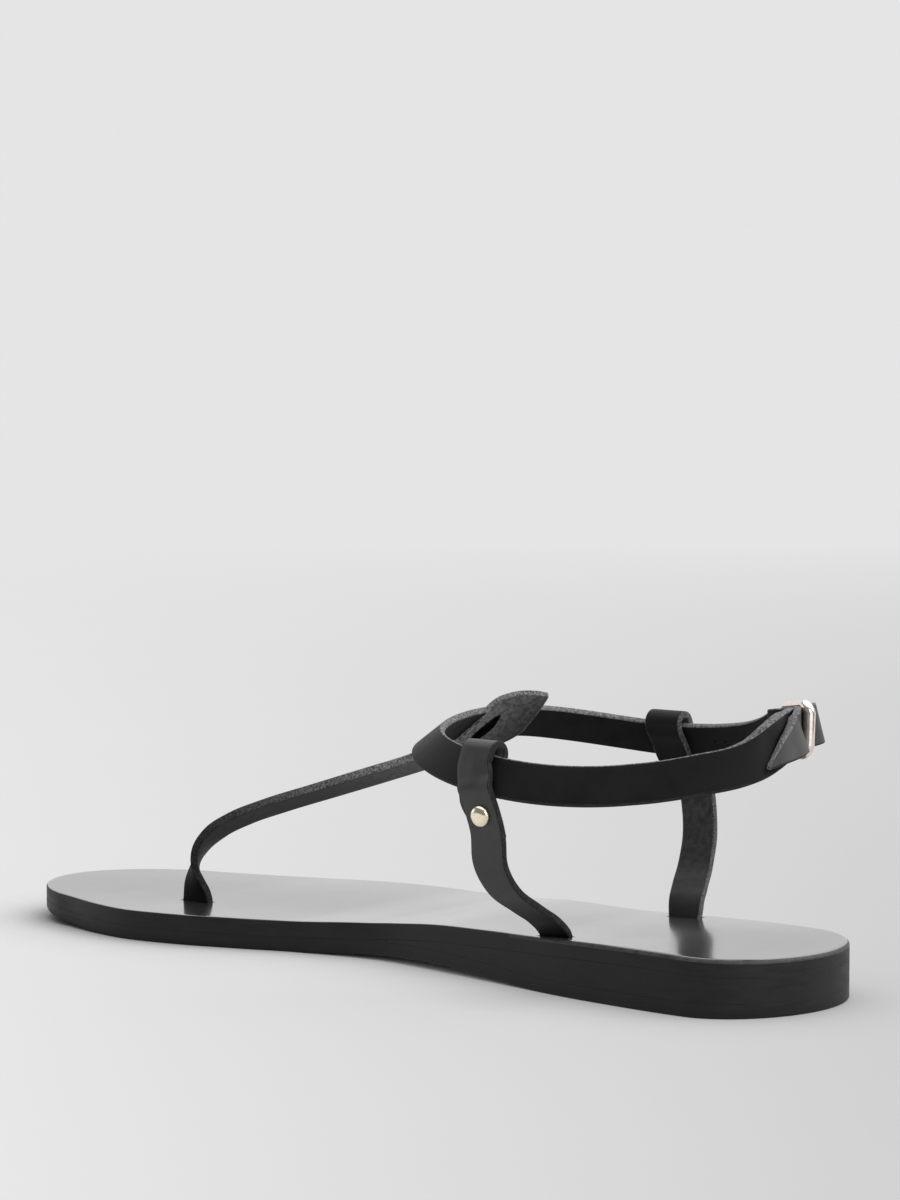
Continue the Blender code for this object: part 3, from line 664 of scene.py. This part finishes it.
def sole_loop(stations, inset):
    """Outline from the heel along the inner side to the toe and back, set in by inset(along)."""
    inner = [Vector((sole_x(a), sole_centre(a) + half_width(a))) for a in stations]
    outer = [Vector((sole_x(a), sole_centre(a) - half_width(a))) for a in stations]
    blunt = half_width(stations[-1]) > BLUNT_END
    order = list(range(len(stations)))
    loop = inner + (outer[:0:-1] if blunt else outer[-2:0:-1])
    order += order[:0:-1] if blunt else order[-2:0:-1]
    count = len(loop)
    moved = []
    for k in range(count):
        run = loop[(k + 1) % count] - loop[k - 1]
        inward = Vector((run.y, -run.x)).normalized()
        moved.append(loop[k] + inward * inset(stations[order[k]]))
    return moved, order


def footbed_wave(along, y):
    """Height of the footbed's wave: up beside the outer rim, down beside the inner rim."""
    width = max(2 * half_width(along), 1.0)
    share = (y - sole_centre(along)) / width + 0.5
    ends = clamp(min(along, 1 - along) / WAVE_ENDS)
    return WAVE_SHARE * width * sin(2 * pi * share) * ends


def sole_layer(name, stations, levels, finishes, band_finish=None, wave=lambda along, y: 0.0):
    """Closed layer of the sole; each level has a height and an inset as functions of the length.

    band_finish(level, along) picks the finish between two levels, and wave(along, y) is how far the
    rim and the top lie above that height.
    """
    points = []
    order = []
    for number, (height, inset) in enumerate(levels):
        loop, order = sole_loop(stations, inset)
        for p, k in zip(loop, order):
            rise = wave(stations[k], p.y) if number > 1 else 0.0
            points.append((p.x, p.y, height(stations[k]) + rise))
    count = len(order)
    faces = tube_faces(len(levels), count)
    picked = [0] * len(faces)
    if band_finish:
        picked = [band_finish(level, stations[k]) for level in range(len(levels) - 1) for k in order]
    for base in (0, (len(levels) - 1) * count):
        rows = []
        for k in range(len(stations)):
            first = base + k
            second = base + (count - k) % count
            if k == len(stations) - 1 and count % 2 == 0:
                second = first
            row = [first]
            for column in range(1, SOLE_COLUMNS):
                if first == second:
                    row.append(first)
                    continue
                share = 0.5 - 0.5 * cos(pi * column / SOLE_COLUMNS)
                point = Vector(points[first]).lerp(Vector(points[second]), share)
                if base:
                    point.z = levels[-1][0](stations[k]) + wave(stations[k], point.y)
                row.append(len(points))
                points.append(tuple(point))
            row.append(second)
            rows.append(row)
        for before, after in zip(rows, rows[1:]):
            for column in range(SOLE_COLUMNS):
                four = (before[column], before[column + 1], after[column + 1], after[column])
                corners = tuple(dict.fromkeys(four))
                if len(corners) > 2:
                    faces.append(corners)
                    picked.append(0)
    return add_piece(name, points, faces, finishes, picked)


def build_sole():
    wedge_end = wedge_front()
    full = outline_stations()
    step = SEAT_STEP / SOLE_LENGTH
    stepped = sorted(full + [wedge_end, wedge_end + step])

    def even(value):
        return lambda along: value

    def raised(height, rise):
        return lambda along: height(along) + rise

    flush = even(0.0)
    softened = even(LAYER_ROUND)
    wedge_bottom = raised(underside, OUTSOLE_THICKNESS + FIT)
    wedge_top = raised(insole_bottom, -SEAM)

    def outsole_top(along):
        return wedge_bottom(along) - SEAM if along <= wedge_end + step / 2 else wedge_top(along)

    outsole = sole_layer("outsole_leather", stepped, [
        (underside, even(FOOT_CHAMFER)),
        (raised(underside, FOOT_CHAMFER * FOOT_BEND_RISE), even(FOOT_CHAMFER * FOOT_BEND_INSET)),
        (raised(underside, FOOT_CHAMFER), flush),
        (raised(outsole_top, -LAYER_ROUND), flush),
        (outsole_top, softened),
    ], [EDGE])
    finish_piece(outsole, "sole_edge", "outsole")
    wedge = sole_layer("heel_wedge_leather", outline_stations(wedge_end - step), [
        (wedge_bottom, softened),
        (raised(wedge_bottom, LAYER_ROUND), flush),
        (raised(wedge_top, -LAYER_ROUND), flush),
        (wedge_top, softened),
    ], [EDGE])
    finish_piece(wedge, "sole_edge", "heel_wedge")

    def rim(along):
        share = clamp((RIM_TOE_START - along) / (RIM_TOE_START - RIM_HEEL_END))
        return RIM_TOE + (RIM_HEEL - RIM_TOE) * ease(share)

    levels = [(insole_bottom, softened), (raised(insole_bottom, LAYER_ROUND), flush)]
    for k in range(RIM_STEPS + 1):
        turn = pi / 2 * k / RIM_STEPS
        levels.append((
            lambda along, turn=turn: footbed(along) - rim(along) * (1 - sin(turn)),
            lambda along, turn=turn: rim(along) * (1 - cos(turn)),
        ))
    levels.append((footbed, lambda along: rim(along) + TOP_INSET))

    def insole_finish(level, along):
        """Gloss on top, and a painted highlight on the rim at the heel above the painted edge."""
        if level < 2:
            return 1
        if level < RIM_STEPS:
            return 2 if along < HIGHLIT_RIM_END else 1
        return 0

    insole = sole_layer("insole_leather", full, levels, [INSOLE, EDGE, RIM_HIGHLIGHT], insole_finish, footbed_wave)
    roots = [(THONG_ROWS[0], THONG_ROWS[0].width)]
    roots += [(spec.rows[0], SIDE_STRAP_WIDTH) for spec in SIDE_STRAPS]
    for root, width in roots:
        ends = [Vector((root.x, root.y, root.z + rise)) for rise in (-INSOLE_THICKNESS, INSOLE_THICKNESS)]
        slot_width = LEATHER + 2 * (FIT + SLOT_EASE)
        cut(insole, strap_box("slot", ends, [(1, 0, 0)] * 2, [width + 2 * FIT] * 2, slot_width))
    finish_piece(insole, "insole_leather", "insole")


def smooth_rows(rows, spacing):
    """Rows of numbers, a place first, joined by a smooth curve with stations about `spacing` apart."""
    data = np.array(rows, dtype=float)
    reach = np.linalg.norm(np.diff(data[:, :3], axis=0), axis=1)
    knots = np.concatenate([[0.0], np.cumsum(reach)])
    tangents = np.gradient(data, knots, axis=0)
    stations = []
    for i, gap in enumerate(reach):
        steps = max(1, ceil(gap / spacing))
        stations += [between(data, tangents, gap, i, k / steps) for k in range(steps)]
    stations.append(data[-1])
    return stations


def strip_profile(width, thickness, slant):
    """Points round a strap's section as (across, up from the middle), and the kind of each side.

    The kinds are 0 for the face, 1 for the back, 2 for the cut edge that `across` points to and 3 for
    the other. At the first of these edges the back stands higher than the face by the slant.
    """
    corner = min(EDGE_ROUND, thickness * CORNER_SHARE, width * CORNER_SHARE)
    wide = width / 2 - corner
    tall = thickness / 2 - corner
    points = []
    kinds = []
    for quarter, (x, y) in enumerate(((wide, tall), (-wide, tall), (-wide, -tall), (wide, -tall))):
        for k in range(CORNER_STEPS + 1):
            turn = pi / 2 * (quarter + k / CORNER_STEPS)
            points.append((x + corner * cos(turn), y + corner * sin(turn)))
            kinds.append((2, 3, 3, 2)[quarter])
        kinds[-1] = (0, 3, 1, 2)[quarter]
        if quarter in (0, 2):
            face_y = points[-1][1]
            for k in range(1, FACE_COLUMNS):
                points.append((x - 2 * x * k / FACE_COLUMNS, face_y))
                kinds.append(kinds[-1])
    lifted = []
    for x, y in points:
        share = max(0.0, 2 * x / width)
        lifted.append((x + slant * share * share * (0.5 - y / thickness), y))
    return lifted, kinds


# One station of a strap: its middle, the direction across it, and its section
Station = namedtuple(
    "Station", "x y z across_x across_y across_z width thickness slant", defaults=(0.0,))


def strap_axes(places, k, across):
    """Directions along a strap at one of its places, straight across it and out of its face."""
    run = (places[min(k + 1, len(places) - 1)] - places[max(k - 1, 0)]).normalized()
    side = Vector(across)
    side = (side - run * side.dot(run)).normalized()
    return run, side, run.cross(side)


def sweep(name, rows, finishes, finish_of=None):
    """Strap through its stations; finish_of(kind, row) picks a finish by the row that it follows."""
    numbered = [(*row, number) for number, row in enumerate(rows)]
    stations = smooth_rows(numbered, STRAP_SPACING)
    places = [Vector(item[:3]) for item in stations]
    points = []
    kinds = []
    for k, item in enumerate(stations):
        _, side, face = strap_axes(places, k, item[3:6])
        section, kinds = strip_profile(*item[6:9])
        points += [places[k] + side * x + face * y for x, y in section]
    faces = tube_faces(len(stations), len(kinds), capped=True)
    picked = []
    for item in stations[:-1]:
        picked += [finish_of(kind, item[9]) if finish_of else kind for kind in kinds]
    picked += [2, 2]
    return add_piece(name, points, faces, finishes, picked)


def strap_box(name, places, across, widths, thickness):
    """Sharp-edged strip, used as a cutter."""
    points = []
    for k, place in enumerate(places):
        _, side, face = strap_axes(places, k, across[k])
        for along_side, along_face in ((1, 1), (1, -1), (-1, -1), (-1, 1)):
            points.append(place + side * along_side * widths[k] / 2 + face * along_face * thickness / 2)
    return add_piece(name, points, tube_faces(len(places), 4, capped=True), [])


def instep_share(angle):
    """How much the ankle strap lies over at its turn on the instep: 1 there, 0 away from it."""
    return max(0.0, cos(radians(angle - INSTEP_ANGLE))) ** INSTEP_POWER


def ring_place(angle):
    """Middle of the ankle strap at an angle in degrees: 0 in front, 90 on the inner side."""
    a = radians(angle)
    x = RING_HALF_LENGTH * cos(a)
    y = RING_HALF_WIDTH * sin(a) * (1 + RING_EGG * cos(a))
    turn = radians(RING_TURN)
    z = (RING_HEIGHT + RING_RISE_FRONT * cos(a) + RING_RISE_INNER * sin(a)
         + RING_SADDLE * cos(2 * a) + RING_SKEW * sin(2 * a) - INSTEP_FALL * instep_share(angle))
    return Vector((RING_MIDDLE[0] + x * cos(turn) - y * sin(turn),
                   RING_MIDDLE[1] + x * sin(turn) + y * cos(turn), z))


def ring_frame(angle):
    """Middle, direction up the band, outward normal and direction along the band."""
    step = 0.5
    run = ring_place(angle + step) - ring_place(angle - step)
    level = Vector((run.x, run.y, 0)).normalized()
    inward = Vector((-level.y, level.x, 0))
    a = radians(angle)
    lean = radians(BAND_LEAN + BAND_LEAN_FRONT * cos(a) + BAND_LEAN_ENDS * cos(2 * a)
                        + INSTEP_LEAN * instep_share(angle))
    up = inward * sin(lean) + Vector((0, 0, cos(lean)))
    outward = Vector((0, 0, sin(lean))) - inward * cos(lean)
    return ring_place(angle), up, outward, level


def ring_point(angle, out, rise=0.0):
    place, up, outward, _ = ring_frame(angle)
    return place + outward * out + up * rise


def buckle_axes():
    """Near bar's middle, front bar's middle, direction up the bars and outward normal."""
    near_bar = ring_point(NEAR_BAR_ANGLE, BAR_OUT)
    chord = ring_point(FRONT_BAR_ANGLE, BAR_OUT) - near_bar
    front_bar = near_bar + Matrix.Rotation(radians(BUCKLE_TURN), 3, 'Z') @ chord
    run = (front_bar - near_bar).normalized()
    up = ring_frame((NEAR_BAR_ANGLE + FRONT_BAR_ANGLE) / 2)[1] + Vector((0, 0, BUCKLE_UPRIGHT))
    up = (up - run * up.dot(run)).normalized()
    up = (up + run.cross(up) * BUCKLE_LEAN).normalized()
    return near_bar, front_bar, up, run.cross(up)


def strap_sink(angle):
    """How far inward the strap has bent on its way to the buckle."""
    return STRAP_SINK * ease(clamp((angle - SINK_START) / (NEAR_BAR_ANGLE - SINK_START)))


def build_ankle_strap():
    """Strap from the tip of its free end, through the buckle, round the ankle and round the centre bar."""
    near_bar, front_bar, bar_up, bar_out = buckle_axes()
    frame_run = (front_bar - near_bar).normalized()
    reach = (front_bar - near_bar).length
    rows = []

    def add(place, side, width=BAND_WIDTH, thickness=BAND_LEATHER, slant=0.0):
        rows.append(Station(*place, *side, width, thickness, slant))

    for row in TIP_ROWS:
        share = (row.along - TIP_ROWS[0].along) / (TIP_ROWS[-1].along - TIP_ROWS[0].along)
        drop = (row.width - BAND_WIDTH) / 2
        lift = BAND_LAYER + TIP_LIFT + TIP_RISE * (1 - share) ** 2 - strap_sink(row.along)
        add(ring_point(row.along, lift, drop), ring_frame(row.along)[1], row.width, TIP_LEATHER)
    tip_rows = len(rows)
    for row in reversed(FREE_END_ROWS):
        place = near_bar + frame_run * reach * row.share + bar_out * row.height
        add(place + bar_up * row.lift, bar_up - bar_out * row.lean)
    for angle in range(RING_START, RING_END, RING_SPACING):
        beside = min(max(angle - 360, COURSE_ROWS[0].along), COURSE_ROWS[-1].along)
        slant = monotone(COURSE_ROWS, "slant", beside)
        rise = monotone(COURSE_ROWS, "rise", beside)
        rise += FAR_RISE * max(0.0, (FAR_ANGLE - angle) / (FAR_ANGLE - RING_START)) ** 2
        in_front = clamp(abs(angle - FRONT_ANGLE) / FRONT_HALF_ANGLE)
        extra = FRONT_EXTRA * (1 - in_front * in_front) ** 2
        place = ring_point(angle, -strap_sink(angle - 360), rise - extra / 2)
        add(place, ring_frame(angle)[1], BAND_WIDTH + extra, slant=slant)
    centre_bar = near_bar.lerp(front_bar, CENTRE_SHARE)
    add(near_bar - bar_out * (BAND_LAYER + BAR_CLEARANCE + 2 * FIT), bar_up)
    for k in range(FOLD_STEPS + 1):
        turn = pi * (k / FOLD_STEPS - 0.5)
        swing = frame_run * cos(turn) + bar_out * sin(turn)
        add(centre_bar + swing * BAR_CLEARANCE, bar_up)

    # The free end's face takes the lighter grain with painted light
    def band_finish(kind, row):
        free_end = row < tip_rows + len(FREE_END_ROWS) - 1
        return 4 if kind == 0 and free_end else kind

    band = sweep("ankle_strap", rows, [GRAIN, BAND_BACK, CUT, DARK_CUT, LIT_STRAP_GRAIN], band_finish)
    for angle in HOLE_ANGLES:
        place, _, outward, _ = ring_frame(angle)
        ends = [place - outward * HOLE_REACH, place + outward * HOLE_REACH]
        cut(band, rod("hole", ends, HOLE_RADIUS, False, []))
    finish_piece(band, "strap_leather", "upper")


def build_thong_strap():
    """Strap from its slot between the toes, turned flat over the instep, with its slit, leaf-shaped end."""
    root = THONG_ROWS[0]
    below = root._replace(z=root.z - SLOT_DEPTH)
    course = smooth_rows([below] + THONG_ROWS, THONG_SPACING)
    places = [Vector(row[:3]) for row in course]
    rows = []
    for k, place in enumerate(places):
        yaw, roll, width = course[k][3:]
        turned = radians(yaw)
        _, side, face = strap_axes(places, k, (cos(turned), -sin(turned), 0.0))
        if face.z < 0:
            face.negate()
        tilt = radians(roll)
        across = side * cos(tilt) - face * sin(tilt)
        thin = clamp((LEAF_FROM - place.x) / (LEAF_FROM - THONG_ROWS[-1].x))
        rows.append(Station(*place, *across, width, LEATHER + (LEAF_LEATHER - LEATHER) * thin))
    half_way = len(places) // 2
    ahead = places[half_way + 1] - places[half_way]
    up_is_face = ahead.cross(Vector(rows[half_way][3:6])).z > 0
    flesh_kind = int(up_is_face)

    def thong_finish(kind, row):
        return 4 if kind == flesh_kind and places[int(row)].x < LEAF_FLESH_FROM else kind

    def nearest_station(row):
        """Station nearest to a place of the table, given as a row number with a fraction."""
        before = Vector(THONG_ROWS[int(row)][:3])
        place = before.lerp(Vector(THONG_ROWS[int(row) + 1][:3]), row % 1)
        return min(range(len(places)), key=lambda i: (places[i] - place).length)

    # The flesh side carries painted shade toward the toe
    faces = [THONG_GRAIN, PAINTED_THONG_FLESH] if up_is_face else [PAINTED_THONG_FLESH, THONG_GRAIN]
    # The cut edges carry painted shade toward the root, and the leaf's flesh painted light and shade
    thong = sweep("thong_strap", rows, faces + [PAINTED_THONG_CUT, PAINTED_THONG_CUT, PAINTED_LEAF], thong_finish)
    start = nearest_station(SLIT_START)
    end = nearest_station(SLIT_END)
    slit = range(start, end + 1)
    widths = []
    middles = []
    for k in slit:
        share = (k - start) / (end - start)
        widths.append(SLIT_LEAST + 2 * SLIT_HALF * sin(pi * share) ** SLIT_POWER)
        middles.append(places[k] - Vector(rows[k][3:6]) * rows[k].width / 2 * SLIT_ASIDE)
    cut(thong, strap_box("slit", middles, [rows[k][3:6] for k in slit], widths, SLIT_CUT))
    finish_piece(thong, "strap_leather", "upper")


def build_side_strap(spec, grain, edge):
    """Strap from its slot up outside the ankle strap, over it and down its inner side, with its rivet."""
    root = spec.rows[0]
    aside = copysign(SLOT_ASIDE, root.y)
    low = [root._replace(y=root.y - aside, z=root.z - SLOT_DEPTH)] + spec.rows
    out = (SIDE_LEATHER + BAND_LEATHER) / 2 + CONTACT
    rim = BAND_WIDTH / 2

    def on_ring(out, rise):
        below = max(0.0, SLANT_TOP - rise) if out > 0 else 0.0
        return ring_point(spec.ring_angle + spec.slant * below, out, rise)

    join = on_ring(out, JOIN_RISE - rim)
    outer = [Vector(row) for row in smooth_rows(low + [tuple(join)], SIDE_SPACING)]
    places = list(outer)
    for rise, slack in ((-0.35 * rim, 0.05), (SLANT_TOP, 0.35), (0.7 * rim, 0.8)):
        places.append(on_ring(out + LOOP_SLACK * slack, rise))
    loose = out + LOOP_SLACK
    for k in range(FOLD_STEPS + 1):
        turn = pi * k / FOLD_STEPS
        places.append(on_ring(loose * cos(turn), rim + loose * sin(turn)))
    for rise, slack in ((0.0, 0.3), (JOIN_RISE - rim, 0.0)):
        places.append(on_ring(-out - LOOP_SLACK * slack, rise))
    middle, _, normal, along = ring_frame(spec.ring_angle)
    forward = along if along.x > 0 else along * -1
    inward = normal * -1
    for share in (0.56, 0.78, 1.0):
        level = middle.z - share * spec.inner_end
        nearest = min(outer, key=lambda place: abs(place.z - level))
        below = outer[max(outer.index(nearest) - 1, 0)]
        run = (nearest - below).normalized()
        away = (inward - run * inward.dot(run)).normalized()
        places.append(nearest + away * (SIDE_LEATHER + LAYER_GAP) + forward * INNER_AHEAD)
    rows = []
    for k, place in enumerate(places):
        share = min(1.0, k / len(outer))
        width = spec.low_width + (spec.high_width - spec.low_width) * share
        turned = share ** TWIST_POWER
        across = Vector(spec.base) * (1 - turned) + forward * turned
        rows.append(Station(*place, *across, width, SIDE_LEATHER))
    level = middle.z - RIVET_DROP
    k = min(range(1, len(outer) - 1), key=lambda i: abs(places[i].z - level))
    run, side, face = strap_axes(places, k, rows[k][3:6])
    face_is_out = face.dot(inward) < 0
    # The flesh faces carry painted shade toward the slot and painted light higher up
    faces = [grain, PAINTED_SIDE_FLESH] if face_is_out else [PAINTED_SIDE_FLESH, grain]
    strip = sweep(f"side_strap_{spec.name}", rows, faces + [edge, edge])
    finish_piece(strip, "strap_leather", "upper")
    outward = face if face_is_out else face * -1
    build_rivet(spec.name, places[k] + outward * SIDE_LEATHER / 2, run, side, outward)


def build_rivet(name, place, run, side, out):
    """Low domed cap with a rolled foot."""
    top = RIVET_HEIGHT + FIT
    points = []
    for radius, rise in RIVET_PROFILE:
        for s in range(RIVET_SIDES):
            turn = 2 * pi * s / RIVET_SIDES
            reach = side * cos(turn) + run * sin(turn)
            points.append(place + out * rise * top + reach * radius * RIVET_RADIUS)
    points.append(place + out * top)
    faces = [tuple(range(RIVET_SIDES)), *tube_faces(len(RIVET_PROFILE), RIVET_SIDES)]
    last = (len(RIVET_PROFILE) - 1) * RIVET_SIDES
    for s in range(RIVET_SIDES):
        faces.append((last + s, last + (s + 1) % RIVET_SIDES, len(points) - 1))
    item = add_piece(f"rivet_cap_{name}", points, faces, [GOLD], crease=METAL_CREASE)
    finish_piece(item, "pale_gold", f"rivet_{name}")


def rod(name, places, radius, closed, finishes, sides=20):
    """Round rod through the given places, closed to a ring or capped; a radius for all or for each."""
    count = len(places)
    radii = radius if isinstance(radius, list) else [radius] * count
    points = []
    reference = None
    for k, place in enumerate(places):
        ahead = places[(k + 1) % count] if closed else places[min(k + 1, count - 1)]
        behind = places[k - 1] if closed else places[max(k - 1, 0)]
        run = (ahead - behind).normalized()
        if reference is None:
            reference = run.orthogonal()
        reference = (reference - run * reference.dot(run)).normalized()
        other = run.cross(reference)
        for side in range(sides):
            turn = 2 * pi * side / sides
            points.append(place + (reference * cos(turn) + other * sin(turn)) * radii[k])
    faces = tube_faces(count, sides, closed, capped=not closed)
    return add_piece(name, points, faces, finishes, crease=METAL_CREASE)


def build_buckle():
    """Rounded rectangular frame with a bar across its middle, and its prong."""
    near_bar, front_bar, up, out = buckle_axes()
    middle = (near_bar + front_bar) / 2
    half_run = (front_bar - near_bar) / 2
    run = half_run.normalized()
    wide = half_run.length - BUCKLE_CORNER
    tall = BUCKLE_HALF_HEIGHT - BUCKLE_CORNER
    places = []
    radii = []
    for quarter, (x, y) in enumerate(((wide, tall), (-wide, tall), (-wide, -tall), (wide, -tall))):
        for k in range(CORNER_STATIONS + 1):
            turn = pi / 2 * (quarter + k / CORNER_STATIONS)
            reach = Vector((x + BUCKLE_CORNER * cos(turn), y + BUCKLE_CORNER * sin(turn)))
            nearness = clamp(-reach.x / half_run.length) ** NEAR_POWER
            bow = max(0.0, 1 - (reach.y / BUCKLE_HALF_HEIGHT) ** 2)
            place = middle + run * reach.x + up * reach.y
            places.append(place + out * NEAR_BOW * nearness * bow)
            radii.append(RIM_ROD + (NEAR_ROD - RIM_ROD) * nearness)
    buckle = rod("buckle_rim", places, radii, True, [ROSE_GOLD], BUCKLE_SIDES)
    finish_piece(buckle, "pale_gold", "buckle_frame")
    centre_bar = near_bar.lerp(front_bar, CENTRE_SHARE)
    ends = [centre_bar - up * BUCKLE_HALF_HEIGHT, centre_bar + up * BUCKLE_HALF_HEIGHT]
    bar = rod("buckle_bar", ends, CENTRE_ROD, False, [ROSE_GOLD], BUCKLE_SIDES)
    finish_piece(bar, "pale_gold", "buckle_frame")
    seat = BUCKLE_ROD + FIT + PRONG_ROD
    start = centre_bar + run * seat
    tip = front_bar + out * seat + run * BUCKLE_ROD
    bend = start.lerp(tip, 0.5) + out * PRONG_BOW
    line = []
    radii = []
    for k in range(PRONG_STEPS + 1):
        t = k / PRONG_STEPS
        line.append(start * (1 - t) ** 2 + bend * 2 * t * (1 - t) + tip * t * t)
        radii.append(PRONG_ROD * (1.0 - PRONG_TAPER * t ** 3))
    prong = rod("buckle_tongue", line, radii, False, [ROSE_GOLD])
    finish_piece(prong, "pale_gold", "buckle_prong")


def paper_finish(forward, right):
    """Pale paper that gives off part of its own light, with a narrow shade along the sole."""
    finish, tree, shader, place = new_finish("studio_paper")
    tone = two_tones(tree, noise(tree, place, PAPER_PATCH), PAPER_DARK, PAPER_LIGHT)
    tree.links.new(tone, shader.inputs["Base Color"])
    shader.inputs["Roughness"].default_value = 0.9
    shader.inputs["Specular IOR Level"].default_value = 0.1
    ahead = dot(tree, place, forward)
    from_eye = arithmetic(tree, 'MAXIMUM', arithmetic(tree, 'ADD', ahead, EYE_DISTANCE), NEAREST_VIEW)
    fan = arithmetic(tree, 'DIVIDE', dot(tree, place, right), from_eye)
    near_glow = spread(tree, fan, -FAN_HALF, FAN_HALF, GLOW_LEFT, GLOW_RIGHT)
    far = spread(tree, ahead, 0.0, WALL_LIGHT_FROM, 0.0, 1.0)
    glow = node(tree, "ShaderNodeMix", {0: far, 2: near_glow, 3: GLOW_WALL}, data_type='FLOAT').outputs[0]
    free_sky = node(tree, "ShaderNodeAmbientOcclusion", {"Distance": NEAR_SHADE}, samples=3)
    toe = SOLE_LENGTH / 2 * MM
    depth = spread(tree, dot(tree, place, Vector((1, 0, 0))), 0.0, toe, SHADE_HEEL, SHADE_TOE)
    shade = arithmetic(tree, 'POWER', free_sky.outputs["AO"], depth)
    shine = node(tree, "ShaderNodeEmission", {"Strength": arithmetic(tree, 'MULTIPLY', glow, shade)})
    share = spread(tree, ahead, SHARE_START, SHARE_END, GLOW_SHARE, 1.0)
    mixed = node(tree, "ShaderNodeMixShader", {
        0: share, 1: shader.outputs["BSDF"], 2: shine.outputs["Emission"]})
    tree.links.new(mixed.outputs["Shader"], tree.nodes["Material Output"].inputs["Surface"])
    return finish


def add_light(name, kind, toward):
    """Light that shines from the side that `toward` points to."""
    light = add_object(name, bpy.data.lights.new(name, kind))
    light.rotation_euler = toward.to_track_quat('Z', 'Y').to_euler()
    return light


def build_stage():
    """Pale floor that curves up into a distant pale wall, broad light from above and soft panels."""
    forward = Vector((CAMERA_FORWARD[0], CAMERA_FORWARD[1], 0)).normalized()
    right = Vector(CAMERA_RIGHT).normalized()
    foot = FLOOR_FAR - WALL_BEND
    profile = [(FLOOR_NEAR, 0.0), (0.0, 0.0), (foot, 0.0)]
    for k in range(1, BEND_STEPS + 1):
        turn = pi / 2 * k / BEND_STEPS
        profile.append((foot + WALL_BEND * sin(turn), WALL_BEND - WALL_BEND * cos(turn)))
    profile.append((FLOOR_FAR, WALL_TOP))
    points = []
    for depth, height in profile:
        for reach in (-FLOOR_HALF, FLOOR_HALF):
            points.append(forward * depth + right * reach + Vector((0, 0, height)))
    faces = [(2 * k, 2 * k + 1, 2 * k + 3, 2 * k + 2) for k in range(len(profile) - 1)]
    mesh = bpy.data.meshes.new("studio_floor")
    mesh.from_pydata([tuple(point) for point in points], [], faces)
    mesh.shade_smooth()
    floor = add_object("studio_floor", mesh)
    mesh.materials.append(paper_finish(forward, right))

    world = bpy.data.worlds.new("studio")
    bpy.context.scene.world = world
    world.use_nodes = True
    world.node_tree.nodes["Background"].inputs["Color"].default_value = (0.22, 0.22, 0.22, 1.0)

    sun = add_light("top_light", 'SUN', forward * SUN_AHEAD + right * SUN_RIGHT + Vector((0, 0, 1)))
    sun.data.energy = 2.0
    sun.data.angle = radians(100)
    for spec in PANELS:
        panel = add_light(spec.name, 'AREA', Vector(spec.place) - Vector(LIT_PLACE))
        panel.data.shape = 'RECTANGLE'
        panel.data.size = spec.wide
        panel.data.size_y = spec.tall
        panel.data.energy = spec.power
        panel.location = spec.place
        panel.visible_camera = False


def build_camera():
    forward = Vector(CAMERA_FORWARD).normalized()
    right = Vector(CAMERA_RIGHT).normalized()
    up = right.cross(forward)
    camera = add_object("photo_camera", bpy.data.cameras.new("photo_camera"))
    turn = Matrix((right, up, -forward)).transposed().to_4x4()
    camera.matrix_world = Matrix.Translation(to_row(CAMERA_PLACE)) @ turn
    camera.data.sensor_fit = 'AUTO'
    camera.data.sensor_width = CAMERA_SENSOR
    camera.data.lens = CAMERA_LENS
    camera.data.clip_start = 0.01
    bpy.context.scene.camera = camera
    bpy.context.scene.view_settings.view_transform = 'Standard'


build_sole()
build_ankle_strap()
build_thong_strap()
# The medial strap's outer face takes the lighter grain with painted light and shade
build_side_strap(SIDE_STRAPS[0], LIT_STRAP_GRAIN, DARK_CUT)
build_side_strap(SIDE_STRAPS[1], GRAIN, FRAYED)
build_buckle()
build_stage()
build_camera()
